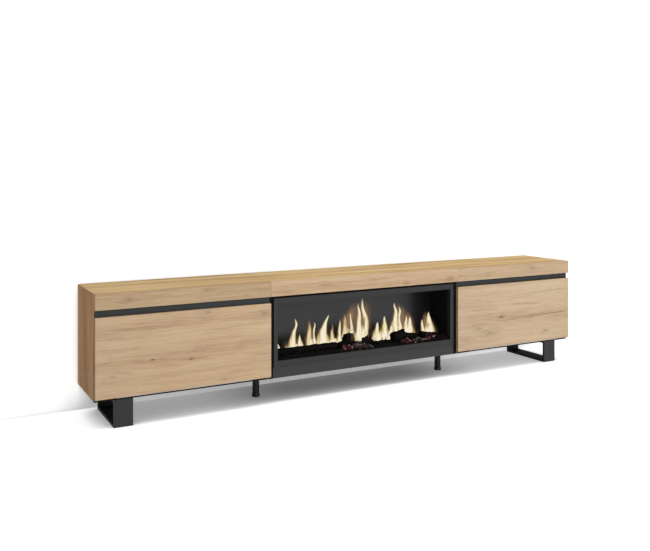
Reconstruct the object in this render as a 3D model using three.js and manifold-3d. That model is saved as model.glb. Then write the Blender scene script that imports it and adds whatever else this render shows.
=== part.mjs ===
// Fireplace TV stand: two cupboards with drop-down doors beside a module that holds a flame-effect fire.
// Lengths are millimetres. X runs to the right along the front, Y from the front to the back, Z upwards.
// The origin is on the floor under the middle of the stand.
import * as THREE from 'three';
import { mergeVertices } from 'three/addons/utils/BufferGeometryUtils.js';
import Module from 'manifold-3d';

const wasm = await Module();
wasm.setup();

// Whole stand
const LENGTH = 2600;
const DEPTH = 350;
const HEIGHT = 555.5;
const LEG_HEIGHT = 116;
const CUPBOARD_LENGTH = 775;

// Boards
const BOARD = 16;
const BACK_BOARD = 3;
const BACK_INSET = 2;
const TOP_SEAM = 0.5;

// Fronts: fascia, finger groove and doors
const FRONT_OVERHANG = 18;
const FASCIA_HEIGHT = 67;
const GROOVE_HEIGHT = 29.5;
const GROOVE_RAIL_LAP = 10;
const DOOR_THICKNESS = 16;
const DOOR_SIDE_GAP = 0.5;
const BOTTOM_REVEAL = 12.5;

// Holes in the back boards
const CABLE_HOLE_RADIUS = 30;
const CABLE_HOLE_ABOVE_BOTTOM = 88;
const ACCESS_WINDOW_MARGIN = 22;

// Sled legs
const LEG_END_INSET = 80;
const LEG_WIDTH = 80;
const LEG_BAR = 12;
const LEG_FRONT_INSET = 23.5;
const LEG_REAR_INSET = 23.5;

// Middle feet
const FOOT_RADIUS = 16;
const FOOT_FLANGE_RADIUS = 28;
const FOOT_FLANGE = 3;
const PAD_RADIUS = 18.5;
const PAD_HEIGHT = 14;
const PAD_FLOOR = 4;
const PAD_TRAVEL = 8;
const PAD_PLAY = 0.4;
const STUD_RADIUS = 5;
const STUD_HEIGHT = 40;

// Door hinges
const HINGE_LENGTH = 600;
const HINGE_KNUCKLES = 9;
const HINGE_RADIUS = 2.5;
const HINGE_PIN_RADIUS = 1.2;
const HINGE_PLAY = 0.3;
const HINGE_KNUCKLE_GAP = 0.6;
const HINGE_SHEET = 1.2;
const HINGE_DOOR_GAP = 0.4;
const HINGE_LEAF_DEPTH = 36;
const HINGE_LEAF_RISE = 32;
const HINGE_FINGER_RISE = 10;

// Door stays
const STAY_SHEET = 2;
const STAY_PLAY = 0.4;
const STAY_ARM_HALF_WIDTH = 7;
const STAY_PIN_RADIUS = 2.5;
const STAY_PIN_PLAY = 0.3;
const STAY_HEAD_RADIUS = 4.5;
const STAY_HEAD = 0.8;
const STAY_DOOR_STANDOFF = 14;
const STAY_DOOR_RISE = 150;
const STAY_SIDE_SETBACK = 110;
const STAY_SIDE_RISE = 40;
const STAY_PLATE_HALF_HEIGHT = 20;
const STAY_PLATE_WIDTH = 15;

// Fire front
const APRON_HEIGHT = 49.5;
const BEZEL_LAP = 1;
const BEZEL_PROUD = 4;
const BEZEL_SIDE = 20;
const BEZEL_RAIL = 27;
const BEZEL_FOOT_GAP = 1;
const BEZEL_HEAD_GAP = 11;
const BEZEL_COLLAR_SHEET = 1.5;
const BEZEL_COLLAR_OVERLAP = 6;
const BEHIND_BEZEL_GAP = 2;

// Fire housing
const SHEET = 1.2;
const FIT = 0.3;
const HOUSING_REVEAL = 4;
const HOUSING_REAR_CLEARANCE = 32;
const FLAME_SCREEN = 3;
const FIREBOX_DEPTH = 180;
const BED_THICKNESS = 8;
const BED_FRONT_INSET = 7;
const BED_END_GAP = 2;

// Logs and coals
const LOG_SIDES = 10;
const COAL_RADIUS = 11;
const COAL_COUNT = 30;

// Light unit behind the flame screen
const LIGHT_BOARD = 1.6;
const LIGHT_BOARD_WIDTH = 14;
const LIGHT_BOARD_SETBACK = 69;
const LIGHT_CHIP = 4;
const LIGHT_CHIP_HEIGHT = 1;
const LIGHT_CHIPS = 16;
const ROD_RADIUS = 3;
const ROD_PLAY = 0.3;
const ROD_SETBACK = 36;
const ROD_RISE = 32;
const ROD_SOCKET = 8;
const PADDLE_REACH = 14;
const PADDLE_SHEET = 1;
const PADDLE_LENGTH = 34;
const PADDLE_COUNT = 16;
const MOTOR_RADIUS = 22;
const MOTOR_LENGTH = 20;
const MOTOR_END_GAP = 12;
const MOTOR_FOOT_HALF_WIDTH = 13;

// Control box with its mains inlet and switch
const CONTROL_LENGTH = 96;
const CONTROL_HEIGHT = 80;
const CONTROL_END_GAP = 6;
const CONTROL_FRONT_SETBACK = 14;
const PANEL_LENGTH = 84;
const PANEL_HEIGHT = 46;
const PANEL_RISE = 22;
const PANEL_PROUD = 2;
const PANEL_PLAY = 0.5;
const INLET_LENGTH = 27;
const INLET_HEIGHT = 20;
const INLET_DEPTH = 14;
const INLET_OFFSET = 18;
const INLET_PIN = 2;
const INLET_PIN_HEIGHT = 4;
const INLET_PIN_SPACING = 7;
const INLET_PIN_LENGTH = 11;
const SWITCH_OFFSET = 24;
const SWITCH_LENGTH = 20.6;
const SWITCH_WIDTH = 13;
const SWITCH_DEPTH = 8;
const SWITCH_PIVOT_DEPTH = 1.5;
const ROCKER_PLAY = 0.4;
const ROCKER_HALF_LENGTH = 9.4;
const ROCKER_CREST = 2.6;
const ROCKER_DIP = 0.9;
const ROCKER_ROOT_HALF_LENGTH = 6.8;
const ROCKER_ROOT_DEPTH = 4.8;
const ROCKER_PIN_RADIUS = 1.2;
const ROCKER_PIN_LENGTH = 1.2;
const ROCKER_TILT = THREE.MathUtils.degToRad(9);

// Shares that shape the moulded logs: along the log, and of its radius
const LOG_PROFILE_SHARES = [
  [0, 0], [0, 0.72], [0.03, 0.9], [0.14, 1], [0.27, 0.9], [0.38, 0.97], [0.52, 0.86],
  [0.66, 0.95], [0.79, 0.84], [0.9, 0.92], [0.97, 0.8], [1, 0.62], [1, 0],
];
const LOG_FLAT_SHARE = 0.35;
const STUB_SHARES = { along: 0.62, radius: 0.4, reach: 1.35, tilt: 0.9 };

// Places and sizes of the logs and the coals, as shares of the bed's length and depth
const LEFT_LOG_SHARES = { start: 0.013, end: 0.351, across: 0.26, radius: 0.098, yaw: 0.012 };
const MIDDLE_LOG_SHARES = { start: 0.363, end: 0.537, across: 0.3, radius: 0.174, yaw: -0.16 };
const RIGHT_LOG_SHARES = { start: 0.678, end: 0.832, across: 0.3, radius: 0.15, yaw: 0.11 };
const COAL_STEP_SHARE = 0.381966;
const COAL_ROW_SHARES = [0.09, 0.62, 0.86];
const COAL_SIZE_SHARES = [1, 0.78, 0.9, 0.68];
const COAL_SINK_SHARE = 0.35;

// Counts that set how round things are
const ROUND_SIDES = 24;
const SMALL_ROUND_SIDES = 16;

// Planes that several pieces share
const HALF = LENGTH / 2;
const FRONT = -DEPTH / 2;
const REAR = DEPTH / 2;
const CARCASS_FRONT = FRONT + FRONT_OVERHANG;
const CARCASS_REAR = REAR - BACK_BOARD;
const RAIL_REAR = CARCASS_FRONT + BOARD;
const SIDE_INNER = HALF - BOARD;
const MODULE_JOINT = HALF - CUPBOARD_LENGTH;
const CUPBOARD_INNER = MODULE_JOINT + BOARD;
const FIRE_INNER = MODULE_JOINT - BOARD;
const FLOOR_TOP = LEG_HEIGHT + BOARD;
const TOP_UNDERSIDE = HEIGHT - BOARD;
const FASCIA_BOTTOM = HEIGHT - FASCIA_HEIGHT;
const DOOR_TOP = FASCIA_BOTTOM - GROOVE_HEIGHT;
const DOOR_BOTTOM = LEG_HEIGHT + BOTTOM_REVEAL;
const DOOR_BACK = FRONT + DOOR_THICKNESS;

// Door hinge axis, and the four pivots of a stay, each as [y, z]
const HINGE_Y = CARCASS_FRONT - HINGE_PLAY - HINGE_RADIUS;
const HINGE_Z = DOOR_BOTTOM - HINGE_DOOR_GAP - HINGE_RADIUS;
const STAY_DOOR_PIVOT = [DOOR_BACK + STAY_DOOR_STANDOFF, HINGE_Z + STAY_DOOR_RISE];
const STAY_SIDE_PIVOT = [HINGE_Y + STAY_SIDE_SETBACK, HINGE_Z + STAY_SIDE_RISE];
const STAY_ELBOW = [
  STAY_SIDE_PIVOT[0] + STAY_DOOR_PIVOT[0] - HINGE_Y,
  STAY_SIDE_PIVOT[1] + STAY_DOOR_PIVOT[1] - HINGE_Z,
];

// Planes of the fire
const BEZEL_HALF = FIRE_INNER + BEZEL_LAP;
const BEZEL_BOTTOM = LEG_HEIGHT + APRON_HEIGHT + BEZEL_FOOT_GAP;
const BEZEL_TOP = FASCIA_BOTTOM - BEZEL_HEAD_GAP;
const OPENING_HALF = BEZEL_HALF - BEZEL_SIDE;
const OPENING_BOTTOM = BEZEL_BOTTOM + BEZEL_RAIL;
const OPENING_TOP = BEZEL_TOP - BEZEL_RAIL;
const HOUSING_INNER = OPENING_HALF + HOUSING_REVEAL;
const HOUSING_FRONT = RAIL_REAR + FIT;
const HOUSING_REAR = CARCASS_REAR - HOUSING_REAR_CLEARANCE;
const HOUSING_FLOOR = FLOOR_TOP + SHEET;
const HOUSING_CEILING = OPENING_TOP + HOUSING_REVEAL;
const SCREEN_FRONT = CARCASS_FRONT + FIREBOX_DEPTH;
const SCREEN_REAR = SCREEN_FRONT + FLAME_SCREEN;
const BED_RAIL_REAR = SCREEN_FRONT - FIT;
const BED_UNDERSIDE = OPENING_BOTTOM + FIT;
const BED_TOP = BED_UNDERSIDE + BED_THICKNESS;
const BED_FRONT = CARCASS_FRONT + BED_FRONT_INSET;
const BED_REAR = SCREEN_FRONT - FIT;
const BED_HALF = OPENING_HALF - BED_END_GAP;
const ROD_Y = SCREEN_REAR + ROD_SETBACK;
const ROD_Z = HOUSING_FLOOR + ROD_RISE;
const CONTROL_END = HOUSING_INNER - CONTROL_END_GAP;
const CONTROL_START = CONTROL_END - CONTROL_LENGTH;
const PANEL_MIDDLE = (CONTROL_START + CONTROL_END) / 2;
const PANEL_BOTTOM = HOUSING_FLOOR + PANEL_RISE;
const PANEL_CENTRE = PANEL_BOTTOM + PANEL_HEIGHT / 2;
const PANEL_FACE = HOUSING_REAR + PANEL_PROUD;
const MOTOR_END = -HOUSING_INNER + MOTOR_END_GAP;
const MOTOR_START = MOTOR_END + MOTOR_LENGTH;

// Finishes
const OAK = 0xc4a67f;
const OAK_TOP = 0xcaa870;
const DARK_BOARD = 0x2d2621;
const BLACK_BOARD = 0x383a3b;
const BACK_GREY = 0x4a4540;
const BLACK_STEEL = 0x353535;
const BLACK_PLASTIC = 0x202020;
const ZINC = 0x9a9da0;
const SOOT = 0x1d1a19;
const SCREEN_GREY = 0x3a3b3d;
const MIRROR = 0xc8ccd0;
const BOARD_WHITE = 0xd8dcd6;

// Turns a three.js geometry into a solid that can be joined and cut.
function solid(geometry) {
  const bare = geometry.clone();
  bare.deleteAttribute('normal');
  bare.deleteAttribute('uv');
  const welded = mergeVertices(bare);
  return new wasm.Manifold(new wasm.Mesh({
    numProp: 3,
    vertProperties: new Float32Array(welded.attributes.position.array),
    triVerts: new Uint32Array(welded.index.array),
  }));
}

// Turns a joined or cut solid back into a flat-shaded geometry.
function surface(body) {
  const mesh = body.getMesh();
  const geometry = new THREE.BufferGeometry();
  geometry.setAttribute('position', new THREE.BufferAttribute(mesh.vertProperties, 3));
  geometry.setIndex(new THREE.BufferAttribute(mesh.triVerts, 1));
  const flat = geometry.toNonIndexed();
  flat.computeVertexNormals();
  return flat;
}

// Joins several geometries, and takes others away from them.
function built(joined, removed = []) {
  const body = joined.map(solid).reduce((sum, next) => sum.add(next));
  return surface(removed.map(solid).reduce((rest, next) => rest.subtract(next), body));
}

// A block between two corners' spans; each span may be given in either order.
function block(spanX, spanY, spanZ) {
  const geometry = new THREE.BoxGeometry(1, 1, 1);
  const place = geometry.attributes.position;
  const pick = (unit, span) => (unit < 0 ? Math.min(...span) : Math.max(...span));
  for (let i = 0; i < place.count; i += 1) {
    place.setXYZ(
      i,
      pick(place.getX(i), spanX),
      pick(place.getY(i), spanY),
      pick(place.getZ(i), spanZ),
    );
  }
  return geometry;
}

// An outline of [y, z] points, with round or straight-sided holes, drawn out along X.
function drawnAlongX(outline, spanX, holes = []) {
  const shape = new THREE.Shape(outline.map(([y, z]) => new THREE.Vector2(y, z)));
  holes.forEach((hole) => shape.holes.push(hole));
  const start = Math.min(...spanX);
  const depth = Math.max(...spanX) - start;
  const geometry = new THREE.ExtrudeGeometry(shape, {
    depth,
    bevelEnabled: false,
    curveSegments: ROUND_SIDES / 2,
  });
  const axes = new THREE.Matrix4().makeBasis(
    new THREE.Vector3(0, 1, 0),
    new THREE.Vector3(0, 0, 1),
    new THREE.Vector3(1, 0, 0),
  );
  return geometry.applyMatrix4(axes).translate(start, 0, 0);
}

// A round bar along X about the point [y, z].
function barAlongX([y, z], radius, spanX, sides = SMALL_ROUND_SIDES) {
  const start = Math.min(...spanX);
  const length = Math.max(...spanX) - start;
  return new THREE.CylinderGeometry(radius, radius, length, sides)
    .rotateZ(Math.PI / 2)
    .translate(start + length / 2, y, z);
}

// A round bar along Y about the point [x, z].
function barAlongY([x, z], radius, spanY, sides = ROUND_SIDES) {
  const start = Math.min(...spanY);
  const length = Math.max(...spanY) - start;
  return new THREE.CylinderGeometry(radius, radius, length, sides).translate(x, start + length / 2, z);
}

// A round bar that stands upright at [x, y].
function barAlongZ([x, y], radius, spanZ, sides = ROUND_SIDES) {
  const start = Math.min(...spanZ);
  const length = Math.max(...spanZ) - start;
  return new THREE.CylinderGeometry(radius, radius, length, sides)
    .rotateX(Math.PI / 2)
    .translate(x, y, start + length / 2);
}

// A named sub-part with its own finish.
function part(name, geometry, color, roughness, metalness = 0) {
  const mesh = new THREE.Mesh(
    geometry,
    new THREE.MeshStandardMaterial({ color, roughness, metalness }),
  );
  mesh.name = name;
  return mesh;
}

function assembly(name, pieces) {
  const group = new THREE.Group();
  group.name = name;
  group.add(...pieces);
  return group;
}

// Boards of one cupboard; side is -1 on the left and 1 on the right.
function cupboard(label, side) {
  const outerEnd = side * HALF;
  const outerFace = side * SIDE_INNER;
  const joint = side * MODULE_JOINT;
  const innerFace = side * CUPBOARD_INNER;
  const seam = side * (MODULE_JOINT + TOP_SEAM / 2);
  const depth = [CARCASS_FRONT, CARCASS_REAR];
  const holeAt = [side * (SIDE_INNER + CUPBOARD_INNER) / 2, FLOOR_TOP + CABLE_HOLE_ABOVE_BOTTOM];
  const back = built(
    [block(
      [side * (MODULE_JOINT + BACK_INSET), side * (HALF - BACK_INSET)],
      [CARCASS_REAR, REAR],
      [LEG_HEIGHT + BACK_INSET, HEIGHT - BACK_INSET],
    )],
    [barAlongY(holeAt, CABLE_HOLE_RADIUS, [CARCASS_REAR - BACK_BOARD, REAR + BACK_BOARD])],
  );
  return assembly(`${label}_cupboard`, [
    part(`${label}_outer_side`, block([outerFace, outerEnd], depth, [LEG_HEIGHT, HEIGHT]), OAK, 0.55),
    part(
      `${label}_inner_side`,
      block([joint, innerFace], depth, [LEG_HEIGHT, TOP_UNDERSIDE]),
      DARK_BOARD,
      0.6,
    ),
    part(`${label}_top`, block([seam, outerFace], depth, [TOP_UNDERSIDE, HEIGHT]), OAK_TOP, 0.5),
    part(`${label}_bottom`, block([innerFace, outerFace], depth, [LEG_HEIGHT, FLOOR_TOP]), DARK_BOARD, 0.6),
    part(`${label}_back`, back, BACK_GREY, 0.8),
    part(
      `${label}_fascia`,
      block([seam, outerEnd], [FRONT, CARCASS_FRONT], [FASCIA_BOTTOM, HEIGHT]),
      OAK,
      0.55,
    ),
    part(
      `${label}_groove_rail`,
      block([innerFace, outerFace], [CARCASS_FRONT, RAIL_REAR], [DOOR_TOP - GROOVE_RAIL_LAP, TOP_UNDERSIDE]),
      BLACK_BOARD,
      0.5,
    ),
  ]);
}

// Spans along X of the knuckles of one hinge, from its outer end inwards.
function knuckleSpans(side) {
  const middle = (HALF + MODULE_JOINT) / 2;
  const pitch = HINGE_LENGTH / HINGE_KNUCKLES;
  return Array.from({ length: HINGE_KNUCKLES }, (_, i) => {
    const start = middle - HINGE_LENGTH / 2 + i * pitch;
    return [side * (start + HINGE_KNUCKLE_GAP / 2), side * (start + pitch - HINGE_KNUCKLE_GAP / 2)];
  });
}

// The hinge leaf on the cupboard's bottom board: knuckles, pin, upright tabs and a flat plate.
function fixedHingeLeaf(label, side) {
  const spans = knuckleSpans(side);
  const own = spans.filter((_, i) => i % 2 === 0);
  const axis = [HINGE_Y, HINGE_Z];
  const reach = [spans[0][0], spans[spans.length - 1][1]];
  const tabRear = HINGE_Y + HINGE_RADIUS;
  const rise = [FLOOR_TOP, FLOOR_TOP + HINGE_SHEET];
  const pieces = [
    barAlongX(axis, HINGE_PIN_RADIUS, reach),
    block(reach, [CARCASS_FRONT, CARCASS_FRONT + HINGE_LEAF_DEPTH], rise),
  ];
  own.forEach((span) => {
    pieces.push(barAlongX(axis, HINGE_RADIUS, span));
    pieces.push(block(span, [tabRear - HINGE_SHEET, tabRear], [HINGE_Z, FLOOR_TOP + HINGE_SHEET]));
    pieces.push(block(span, [tabRear - HINGE_SHEET, CARCASS_FRONT + HINGE_SHEET], rise));
  });
  return part(`${label}_hinge_fixed_leaf`, built(pieces), ZINC, 0.35, 1);
}

// The hinge leaf on the door's back: bored knuckles, fingers and a plate.
function doorHingeLeaf(label, side) {
  const spans = knuckleSpans(side);
  const own = spans.filter((_, i) => i % 2 === 1);
  const axis = [HINGE_Y, HINGE_Z];
  const reach = [spans[0][0], spans[spans.length - 1][1]];
  const sheet = [DOOR_BACK, DOOR_BACK + HINGE_SHEET];
  const fingerTop = DOOR_BOTTOM + HINGE_FINGER_RISE;
  const pieces = [block(reach, sheet, [fingerTop, fingerTop + HINGE_LEAF_RISE])];
  own.forEach((span) => {
    pieces.push(barAlongX(axis, HINGE_RADIUS, span));
    pieces.push(block(span, sheet, [HINGE_Z, fingerTop]));
  });
  const bore = barAlongX(axis, HINGE_PIN_RADIUS + HINGE_PLAY, reach);
  return part(`${label}_hinge_door_leaf`, built(pieces, [bore]), ZINC, 0.35, 1);
}

// Layers of a stay, counted inwards from the cupboard's outer side.
function stayLayer(side, index) {
  const start = SIDE_INNER - index * (STAY_SHEET + STAY_PLAY);
  return [side * start, side * (start - STAY_SHEET)];
}

// A flat bar with round ends between two [y, z] points.
function roundEndedBar([y0, z0], [y1, z1], halfWidth, spanX) {
  const angle = Math.atan2(z1 - z0, y1 - y0);
  const length = Math.hypot(y1 - y0, z1 - z0);
  const shape = new THREE.Shape();
  shape.absarc(0, 0, halfWidth, Math.PI / 2, Math.PI * 1.5, false);
  shape.absarc(length, 0, halfWidth, -Math.PI / 2, Math.PI / 2, false);
  const outline = shape.getPoints(ROUND_SIDES / 2).map((point) => {
    const turned = point.rotateAround(new THREE.Vector2(0, 0), angle);
    return [turned.x + y0, turned.y + z0];
  });
  return drawnAlongX(outline, spanX);
}

// The stay's plate on the cupboard's outer side, with the pin that the arm turns on.
function staySideBracket(label, side) {
  const plate = stayLayer(side, 0);
  const arm = stayLayer(side, 1);
  const [y, z] = STAY_SIDE_PIVOT;
  const headStart = arm[1] - side * STAY_PLAY;
  return part(`${label}_stay_side_bracket`, built([
    block(
      plate,
      [y - STAY_PLATE_WIDTH, y + STAY_PLATE_WIDTH],
      [z - STAY_PLATE_HALF_HEIGHT, z + STAY_PLATE_HALF_HEIGHT],
    ),
    barAlongX(STAY_SIDE_PIVOT, STAY_PIN_RADIUS, [plate[0], headStart]),
    barAlongX(STAY_SIDE_PIVOT, STAY_HEAD_RADIUS, [headStart, headStart - side * STAY_HEAD]),
  ]), ZINC, 0.35, 1);
}

// The stay's long arm, from the side bracket to the elbow.
function stayArm(label, side) {
  const span = stayLayer(side, 1);
  const cut = [span[0] + side * STAY_SHEET, span[1] - side * STAY_SHEET];
  return part(`${label}_stay_arm`, built(
    [roundEndedBar(STAY_SIDE_PIVOT, STAY_ELBOW, STAY_ARM_HALF_WIDTH, span)],
    [STAY_SIDE_PIVOT, STAY_ELBOW].map((pivot) => barAlongX(pivot, STAY_PIN_RADIUS + STAY_PIN_PLAY, cut)),
  ), ZINC, 0.35, 1);
}

// The stay's link, from the elbow to the door, with the elbow's pin.
function stayLink(label, side) {
  const span = stayLayer(side, 2);
  const arm = stayLayer(side, 1);
  const headStart = arm[0] + side * STAY_PLAY;
  const cut = [span[0] + side * STAY_SHEET, span[1] - side * STAY_SHEET];
  return part(`${label}_stay_link`, built(
    [
      roundEndedBar(STAY_ELBOW, STAY_DOOR_PIVOT, STAY_ARM_HALF_WIDTH, span),
      barAlongX(STAY_ELBOW, STAY_PIN_RADIUS, [span[1], headStart]),
      barAlongX(STAY_ELBOW, STAY_HEAD_RADIUS, [headStart, headStart + side * STAY_HEAD]),
    ],
    [barAlongX(STAY_DOOR_PIVOT, STAY_PIN_RADIUS + STAY_PIN_PLAY, cut)],
  ), ZINC, 0.35, 1);
}

// The stay's bracket on the door's back, with the pin that the link turns on.
function stayDoorBracket(label, side) {
  const lug = stayLayer(side, 3);
  const link = stayLayer(side, 2);
  const [y, z] = STAY_DOOR_PIVOT;
  const headStart = link[0] + side * STAY_PLAY;
  const heights = [z - STAY_PLATE_HALF_HEIGHT, z + STAY_PLATE_HALF_HEIGHT];
  return part(`${label}_stay_door_bracket`, built([
    block([lug[0], lug[1] - side * STAY_PLATE_WIDTH], [DOOR_BACK, DOOR_BACK + STAY_SHEET], heights),
    block(lug, [DOOR_BACK, y + STAY_ARM_HALF_WIDTH], [z - STAY_ARM_HALF_WIDTH, z + STAY_ARM_HALF_WIDTH]),
    barAlongX(STAY_DOOR_PIVOT, STAY_PIN_RADIUS, [lug[1], headStart]),
    barAlongX(STAY_DOOR_PIVOT, STAY_HEAD_RADIUS, [headStart, headStart + side * STAY_HEAD]),
  ]), ZINC, 0.35, 1);
}

// A drop-down door with what turns with it, its hinge and its stay.
function doorAssembly(label, side) {
  const span = [side * (MODULE_JOINT + DOOR_SIDE_GAP), side * (HALF - DOOR_SIDE_GAP)];
  return assembly(`${label}_door_assembly`, [
    part(`${label}_door`, block(span, [FRONT, DOOR_BACK], [DOOR_BOTTOM, DOOR_TOP]), OAK, 0.55),
    fixedHingeLeaf(label, side),
    doorHingeLeaf(label, side),
    staySideBracket(label, side),
    stayArm(label, side),
    stayLink(label, side),
    stayDoorBracket(label, side),
  ]);
}

// The middle back board, with a window over the control box's inlet and switch.
function middleBack() {
  const window = block(
    [CONTROL_START - ACCESS_WINDOW_MARGIN, CONTROL_END + CONTROL_END_GAP],
    [CARCASS_REAR - BACK_BOARD, REAR + BACK_BOARD],
    [PANEL_BOTTOM - ACCESS_WINDOW_MARGIN / 2, PANEL_BOTTOM + PANEL_HEIGHT + ACCESS_WINDOW_MARGIN],
  );
  return built([block(
    [-MODULE_JOINT + BACK_INSET, MODULE_JOINT - BACK_INSET],
    [CARCASS_REAR, REAR],
    [LEG_HEIGHT + BACK_INSET, HEIGHT - BACK_INSET],
  )], [window]);
}

// Boards of the middle module, which holds the fire.
function middleModule() {
  const seam = MODULE_JOINT - TOP_SEAM / 2;
  const inner = [-FIRE_INNER, FIRE_INNER];
  const depth = [CARCASS_FRONT, CARCASS_REAR];
  const rail = [CARCASS_FRONT, RAIL_REAR];
  const side = (sign) => block([sign * FIRE_INNER, sign * MODULE_JOINT], depth, [LEG_HEIGHT, TOP_UNDERSIDE]);
  return assembly('middle_module', [
    part('middle_left_side', side(-1), DARK_BOARD, 0.6),
    part('middle_right_side', side(1), DARK_BOARD, 0.6),
    part('middle_top', block([-seam, seam], depth, [TOP_UNDERSIDE, HEIGHT]), OAK_TOP, 0.5),
    part('middle_bottom', block(inner, [RAIL_REAR, CARCASS_REAR], [LEG_HEIGHT, FLOOR_TOP]), DARK_BOARD, 0.6),
    part('middle_back', middleBack(), BACK_GREY, 0.8),
    part('middle_fascia', block([-seam, seam], [FRONT, CARCASS_FRONT], [FASCIA_BOTTOM, HEIGHT]), OAK, 0.55),
    part(
      'middle_top_rail',
      block(inner, rail, [BEZEL_TOP + BEHIND_BEZEL_GAP, TOP_UNDERSIDE]),
      BLACK_BOARD,
      0.5,
    ),
    part('apron', block(inner, rail, [LEG_HEIGHT, LEG_HEIGHT + APRON_HEIGHT]), BLACK_BOARD, 0.5),
  ]);
}

// A closed loop of flat steel bar under one end of the stand.
function sledLeg(label, side) {
  const front = FRONT + LEG_FRONT_INSET;
  const rear = REAR - LEG_REAR_INSET;
  const loop = new THREE.Path([
    [front + LEG_BAR, LEG_BAR],
    [front + LEG_BAR, LEG_HEIGHT - LEG_BAR],
    [rear - LEG_BAR, LEG_HEIGHT - LEG_BAR],
    [rear - LEG_BAR, LEG_BAR],
  ].map(([y, z]) => new THREE.Vector2(y, z)));
  const outline = [[front, 0], [rear, 0], [rear, LEG_HEIGHT], [front, LEG_HEIGHT]];
  const outer = HALF - LEG_END_INSET;
  return part(
    `${label}_sled_leg`,
    drawnAlongX(outline, [side * outer, side * (outer - LEG_WIDTH)], [loop]),
    BLACK_STEEL,
    0.5,
    0.4,
  );
}

// A round foot under a module joint, bored for the stud of its levelling pad.
function footStem(label, side) {
  const at = [side * MODULE_JOINT, 0];
  const bottom = PAD_FLOOR + PAD_TRAVEL + PAD_PLAY;
  const boreTop = STUD_HEIGHT + PAD_TRAVEL + PAD_PLAY;
  return part(`${label}_foot_stem`, built(
    [
      barAlongZ(at, FOOT_RADIUS, [bottom, LEG_HEIGHT]),
      barAlongZ(at, FOOT_FLANGE_RADIUS, [LEG_HEIGHT - FOOT_FLANGE, LEG_HEIGHT]),
    ],
    [barAlongZ(at, STUD_RADIUS + PAD_PLAY, [0, boreTop])],
  ), BLACK_PLASTIC, 0.45);
}

// The levelling pad: a cup that slides up over the stem, on a central stud.
function footPad(label, side) {
  const at = [side * MODULE_JOINT, 0];
  const cup = built(
    [barAlongZ(at, PAD_RADIUS, [0, PAD_HEIGHT])],
    [barAlongZ(at, FOOT_RADIUS + PAD_PLAY, [PAD_FLOOR, PAD_HEIGHT + PAD_FLOOR])],
  );
  return part(`${label}_foot_pad`, built([
    cup,
    barAlongZ(at, STUD_RADIUS, [0, STUD_HEIGHT]),
  ]), BLACK_PLASTIC, 0.45);
}

// The fire's front frame: a flat ring with a collar that reaches back into the housing.
function bezel() {
  const collarRear = HOUSING_FRONT + BEZEL_COLLAR_OVERLAP;
  const collarHalf = OPENING_HALF + BEZEL_COLLAR_SHEET;
  const face = CARCASS_FRONT - BEZEL_PROUD;
  return part('bezel', built(
    [
      block([-BEZEL_HALF, BEZEL_HALF], [face, CARCASS_FRONT], [BEZEL_BOTTOM, BEZEL_TOP]),
      block(
        [-collarHalf, collarHalf],
        [face, collarRear],
        [OPENING_BOTTOM - BEZEL_COLLAR_SHEET, OPENING_TOP + BEZEL_COLLAR_SHEET],
      ),
    ],
    [block(
      [-OPENING_HALF, OPENING_HALF],
      [face - BEZEL_PROUD, collarRear + BEZEL_PROUD],
      [OPENING_BOTTOM, OPENING_TOP],
    )],
  ), BLACK_STEEL, 0.55, 0.3);
}

// Sheet-metal panels round the fire; the rear one has a window for the control box's panel.
function housing() {
  const inner = [-HOUSING_INNER, HOUSING_INNER];
  const depth = [HOUSING_FRONT, HOUSING_REAR];
  const height = [FLOOR_TOP, HOUSING_CEILING + SHEET];
  const wall = (sign) => block([sign * HOUSING_INNER, sign * (HOUSING_INNER + SHEET)], depth, height);
  const rear = built(
    [block(inner, [HOUSING_REAR - SHEET, HOUSING_REAR], [HOUSING_FLOOR, HOUSING_CEILING])],
    [block(
      [PANEL_MIDDLE - PANEL_LENGTH / 2 - PANEL_PLAY, PANEL_MIDDLE + PANEL_LENGTH / 2 + PANEL_PLAY],
      [HOUSING_REAR - BOARD, HOUSING_REAR + BOARD],
      [PANEL_BOTTOM - PANEL_PLAY, PANEL_BOTTOM + PANEL_HEIGHT + PANEL_PLAY],
    )],
  );
  return [
    part('housing_floor', block(inner, depth, [FLOOR_TOP, HOUSING_FLOOR]), BLACK_STEEL, 0.6, 0.3),
    part(
      'housing_top',
      block(inner, depth, [HOUSING_CEILING, HOUSING_CEILING + SHEET]),
      BLACK_STEEL,
      0.6,
      0.3,
    ),
    part('housing_rear', rear, BLACK_STEEL, 0.6, 0.3),
    part('housing_left_wall', wall(-1), BLACK_STEEL, 0.6, 0.3),
    part('housing_right_wall', wall(1), BLACK_STEEL, 0.6, 0.3),
  ];
}

// A log's size and the middle of its place on the bed.
function logPlace(shares) {
  const depth = BED_REAR - BED_FRONT;
  return {
    length: (shares.end - shares.start) * 2 * BED_HALF,
    radius: shares.radius * depth,
    x: (shares.start + shares.end) * BED_HALF - BED_HALF,
    y: BED_FRONT + shares.across * depth,
  };
}

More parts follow.
